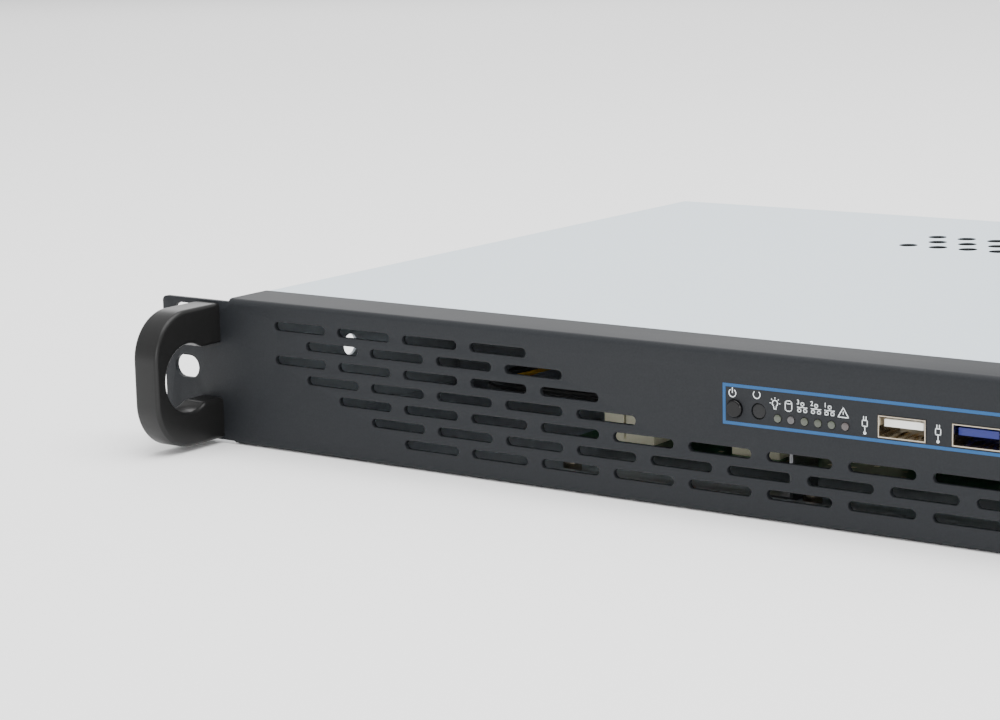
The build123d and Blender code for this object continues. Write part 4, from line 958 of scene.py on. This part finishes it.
@dataclass
class RearPorts(Assembly):
    """Modular jacks, the double port and their small inner parts."""

    jacks: tuple[str, ...] = ("console_jack", "lan_jack_1", "lan_jack_2", "lan_jack_3")
    coats: Coats = (
        Coat(Look.NICKEL, (*jacks, "usb_stack"), 0.12 * MM),
        Coat(Look.BLUE_PLASTIC, ("usb_stack_tongues",), 0.1 * MM))
    contact_count: int = 8
    contact_pitch: float = 1.02 * MM
    contact_size: Point = (0.35 * MM, 7.5 * MM, 0.3 * MM)
    contact_tilt: float = -22.0
    contact_back: float = 7.2 * MM
    contact_height: float = 6.8 * MM
    window_offset: float = 5.7 * MM
    window_half: float = 1.5 * MM
    window_depth: float = 1.0 * MM
    window_proud: float = 0.08 * MM
    window_drops: Place = (3.0 * MM, 0.9 * MM)

    def build(self) -> None:
        """Gold contacts in each jack's roof and a lamp window in each upper corner."""
        contacts, windows = Shape(), Shape()
        tilt = Matrix.Rotation(math.radians(self.contact_tilt), 4, "X")
        lower, upper = self.window_drops
        for node in self.jacks:
            low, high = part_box(node)
            middle = (low[0] + high[0]) / 2
            for offset in row_of(self.contact_count, self.contact_pitch):
                place = (middle + offset, high[1] - self.contact_back, low[2] + self.contact_height)
                contacts.block(self.contact_size, place, tilt)
            for side in (-1, 1):
                x = middle + side * self.window_offset
                windows.bar((x - self.window_half, high[1] - self.window_depth, high[2] - lower),
                            (x + self.window_half, high[1] + self.window_proud, high[2] - upper), 0.2 * MM)
        contacts.finish("jack_contacts", Look.GOLD, "nickel")
        windows.finish("jack_lamp_windows", Look.LENS, "lens")


@dataclass
class PowerSupply(Assembly):
    """The power supply's openings, switch and fan, and the two case fans."""

    coats: Coats = (
        Coat(Look.GREEN_BOARD, ("psu_board",)),
        Coat(Look.DULL_BLACK, ("psu_fan_frame", "fan_frame_left", "fan_frame_right"), 0.25 * MM),
        Coat(Look.DULL_BLACK, ("psu_fan_rotor", "fan_rotor_left", "fan_rotor_right")),
        Coat(Look.DULL_BLACK, ("power_inlet",), 0.3 * MM),
        Coat(Look.NICKEL, ("inlet_pins",), 0.3 * MM),
        Coat(Look.DULL_BLACK, ("rocker_bezel",), 0.2 * MM),
        Coat(Look.GLOSS_BLACK, ("psu_rocker",), 0.3 * MM))


@dataclass
class Storage(Assembly):
    """The small drive in its cradle."""

    coats: Coats = (Coat(Look.DRIVE_CASE, ("storage_drive",), 0.3 * MM),)


@dataclass
class Cabling(Assembly):
    """The cables that run inside the case."""

    end_gap: float = 0.2 * MM
    supply_wire_width: float = 1.7 * MM
    bundle_radius: float = 2.5 * MM
    bundle_spread: float = 1.55 * MM
    bundle_turn: float = 0.9
    bundle_lean: float = 0.35
    bundle: tuple[Look, ...] = (*3 * [Look.WIRE_BLACK], Look.WIRE_RED, Look.WIRE_ORANGE, Look.WIRE_YELLOW)
    wire_width: float = 1.4 * MM
    wire_pitch: float = 2.0 * MM
    plug_offset: float = 40.5 * MM
    wires: tuple[Look, ...] = (Look.WIRE_ORANGE, Look.WIRE_RED, Look.WIRE_BLUE, Look.WIRE_BLACK)

    def build(self) -> None:
        """Both sets of wires."""
        self.power_bundle()
        self.front_wires()

    def hue(self, look: Look) -> str:
        """The colour's name in a wire's finish."""
        return look.name.removeprefix("WIRE_").lower()

    def power_bundle(self) -> None:
        """Six insulated wires twisted loosely along the power cable's route."""
        low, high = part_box("power_cable")
        plug_low, plug_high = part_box("power_plug")
        supply_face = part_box("psu_case")[0][1]
        exit_x, exit_z = low[0] + self.bundle_radius, low[2] + self.bundle_radius
        end_z = high[2] - self.bundle_radius
        # Listed points: out of the supply, forward, across and into the plug
        route = [(exit_x, supply_face + 0.8 * MM, exit_z), (exit_x, supply_face - 37.2 * MM, exit_z),
                 (exit_x + 18.0 * MM, supply_face - 57.6 * MM, (exit_z + end_z) / 2),
                 (plug_low[0] - self.end_gap, (plug_low[1] + plug_high[1]) / 2, end_z)]
        for index, look in enumerate(self.bundle):
            turn = 2 * math.pi * index / len(self.bundle)
            points = []
            for step, point in enumerate(route):
                angle = turn + step * self.bundle_turn
                side = Vector((math.cos(angle), self.bundle_lean * math.cos(angle), math.sin(angle)))
                side *= self.bundle_spread
                points.append(tuple(Vector(point) + side))
            piece = self.wire(f"supply_wire_{index}_{self.hue(look)}", points, look, self.supply_wire_width)
            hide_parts("power_cable")

    def front_wires(self) -> None:
        """Four coloured wires on the routes of the plain ones."""
        low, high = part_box("front_wires")
        radius = self.wire_width / 2
        start_x, top, bottom = high[0], high[2] - radius, low[2] + radius
        plug_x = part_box("board_connectors")[0][0] + self.plug_offset
        end_x = plug_x - self.end_gap
        pieces = []
        for index, look in enumerate(self.wires):
            start_y = low[1] + radius + self.wire_pitch * index
            end_y = high[1] - radius - self.wire_pitch * (len(self.wires) - 1 - index)
            loop_x = plug_x - (12.0 + 1.6 * index) * MM
            middle = (start_y + end_y) / 2
            # Listed points: a loop that hangs from the front board to the main one
            route = [(start_x, start_y, top), (loop_x + 7.0 * MM, start_y, top),
                     (loop_x, start_y + (middle - start_y) * 0.5, top - 6.5 * MM),
                     (loop_x, middle + (end_y - middle) * 0.3, bottom + 6.5 * MM),
                     (loop_x + 6.5 * MM, end_y, bottom), (end_x, end_y, bottom)]
            pieces.append(self.wire(f"wire_{self.hue(look)}", route, look, self.wire_width))
        for piece in pieces:
            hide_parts("front_wires")

    def wire(self, name: str, route: Sequence[Point], look: Look, width: float) -> bpy.types.Object:
        """One round wire of a width along a smooth line, as a mesh."""
        curve = bpy.data.curves.new(f"{name}_line", "CURVE")
        curve.dimensions = "3D"
        curve.bevel_depth = width / 2
        curve.bevel_resolution = 3
        curve.use_fill_caps = True
        spline = curve.splines.new("NURBS")
        spline.points.add(len(route) - 1)
        for point, place in zip(spline.points, route):
            point.co = (*place, 1.0)
        spline.order_u = 3
        spline.use_endpoint_u = True
        spline.resolution_u = 10
        return link(name, curve_mesh(curve), look)


# ---- studio
@dataclass
class Studio:
    """Pale floor, soft lights and the camera."""

    floor_size: float = 6.0
    floor_drop: float = 0.2 * MM
    floor_colour: Colour = (0.95, 0.95, 0.95)
    floor_roughness: float = 0.9
    world_strength: float = 1.15
    # Name, place, aim, size and power of each soft light
    panels: tuple[tuple[str, Point, Point, float, float], ...] = (
        ("key_panel", (0.3, -0.1, 1.7), (0.0, 0.0, 0.0), 2.0, 62.0),
        ("front_fill", (1.0, -1.45, 0.4), (-0.05, -0.1, 0.02), 0.6, 12.0),
        ("back_panel", (-1.6, 1.9, 1.2), (-0.1, 0.0, 0.02), 1.4, 12.0))
    camera_place: Point = (0.30056, -0.69457, 0.16676)
    camera_right: Point = (0.809039, 0.587318, -0.022654)
    camera_down: Point = (0.090365, -0.16238, -0.982582)
    camera_ahead: Point = (-0.580766, 0.7929, -0.184445)
    lens: float = 94.87
    sensor: float = 36.0

    def build(self) -> None:
        """Make the floor, the world, the lights and the camera."""
        self.floor()
        self.world()
        for panel in self.panels:
            self.area(*panel)
        self.camera()

    def floor(self) -> None:
        """A wide pale sheet just under the appliance."""
        mesh = bpy.data.meshes.new("studio_floor")
        shape = bmesh.new()
        bmesh.ops.create_grid(shape, x_segments=1, y_segments=1, size=self.floor_size)
        bmesh.ops.translate(shape, vec=(0.0, 0.0, -self.floor_drop), verts=shape.verts)
        shape.to_mesh(mesh)
        shape.free()
        floor = bpy.data.objects.new("studio_floor", mesh)
        bpy.context.scene.collection.objects.link(floor)
        material = bpy.data.materials.new("studio_floor")
        material.use_nodes = True
        principled = material.node_tree.nodes["Principled BSDF"]
        principled.inputs["Base Color"].default_value = (*self.floor_colour, 1.0)
        principled.inputs["Roughness"].default_value = self.floor_roughness
        mesh.materials.append(material)

    def world(self) -> None:
        """An even white surround."""
        world = bpy.data.worlds.new("studio_surround")
        world.use_nodes = True
        surround = world.node_tree.nodes["Background"]
        surround.inputs["Color"].default_value = (1.0, 1.0, 1.0, 1.0)
        surround.inputs["Strength"].default_value = self.world_strength
        bpy.context.scene.world = world

    def area(self, name: str, place: Point, aim: Point, size: float, power: float) -> None:
        """A square soft light that points at a place."""
        light = bpy.data.lights.new(name, "AREA")
        light.size = size
        light.energy = power
        lamp = bpy.data.objects.new(name, light)
        lamp.location = place
        lamp.rotation_euler = (Vector(aim) - Vector(place)).to_track_quat("-Z", "Y").to_euler()
        bpy.context.scene.collection.objects.link(lamp)

    def camera(self) -> None:
        """The viewing camera, from its axes."""
        data = bpy.data.cameras.new("view_camera")
        data.lens = self.lens
        data.sensor_width = self.sensor
        data.clip_start = 0.01
        camera = bpy.data.objects.new("view_camera", data)
        right, up = Vector(self.camera_right), -Vector(self.camera_down)
        back = -Vector(self.camera_ahead)
        turn = Matrix((right, up, back)).transposed().to_4x4()
        camera.matrix_world = Matrix.Translation(self.camera_place) @ turn
        bpy.context.scene.collection.objects.link(camera)
        bpy.context.scene.camera = camera


def main() -> None:
    """Dress the CAD pieces, add the finer ones and set up the studio."""
    logging.basicConfig(level=logging.INFO, format="%(message)s")
    for assembly in (SheetMetal(), Handles(), FrontControls(), FrontMarks(), MainBoard(), RearPorts(),
                     PowerSupply(), Storage(), Cabling()):
        assembly.dress()
        assembly.build()
    Studio().build()


if __name__ == "__main__":
    main()
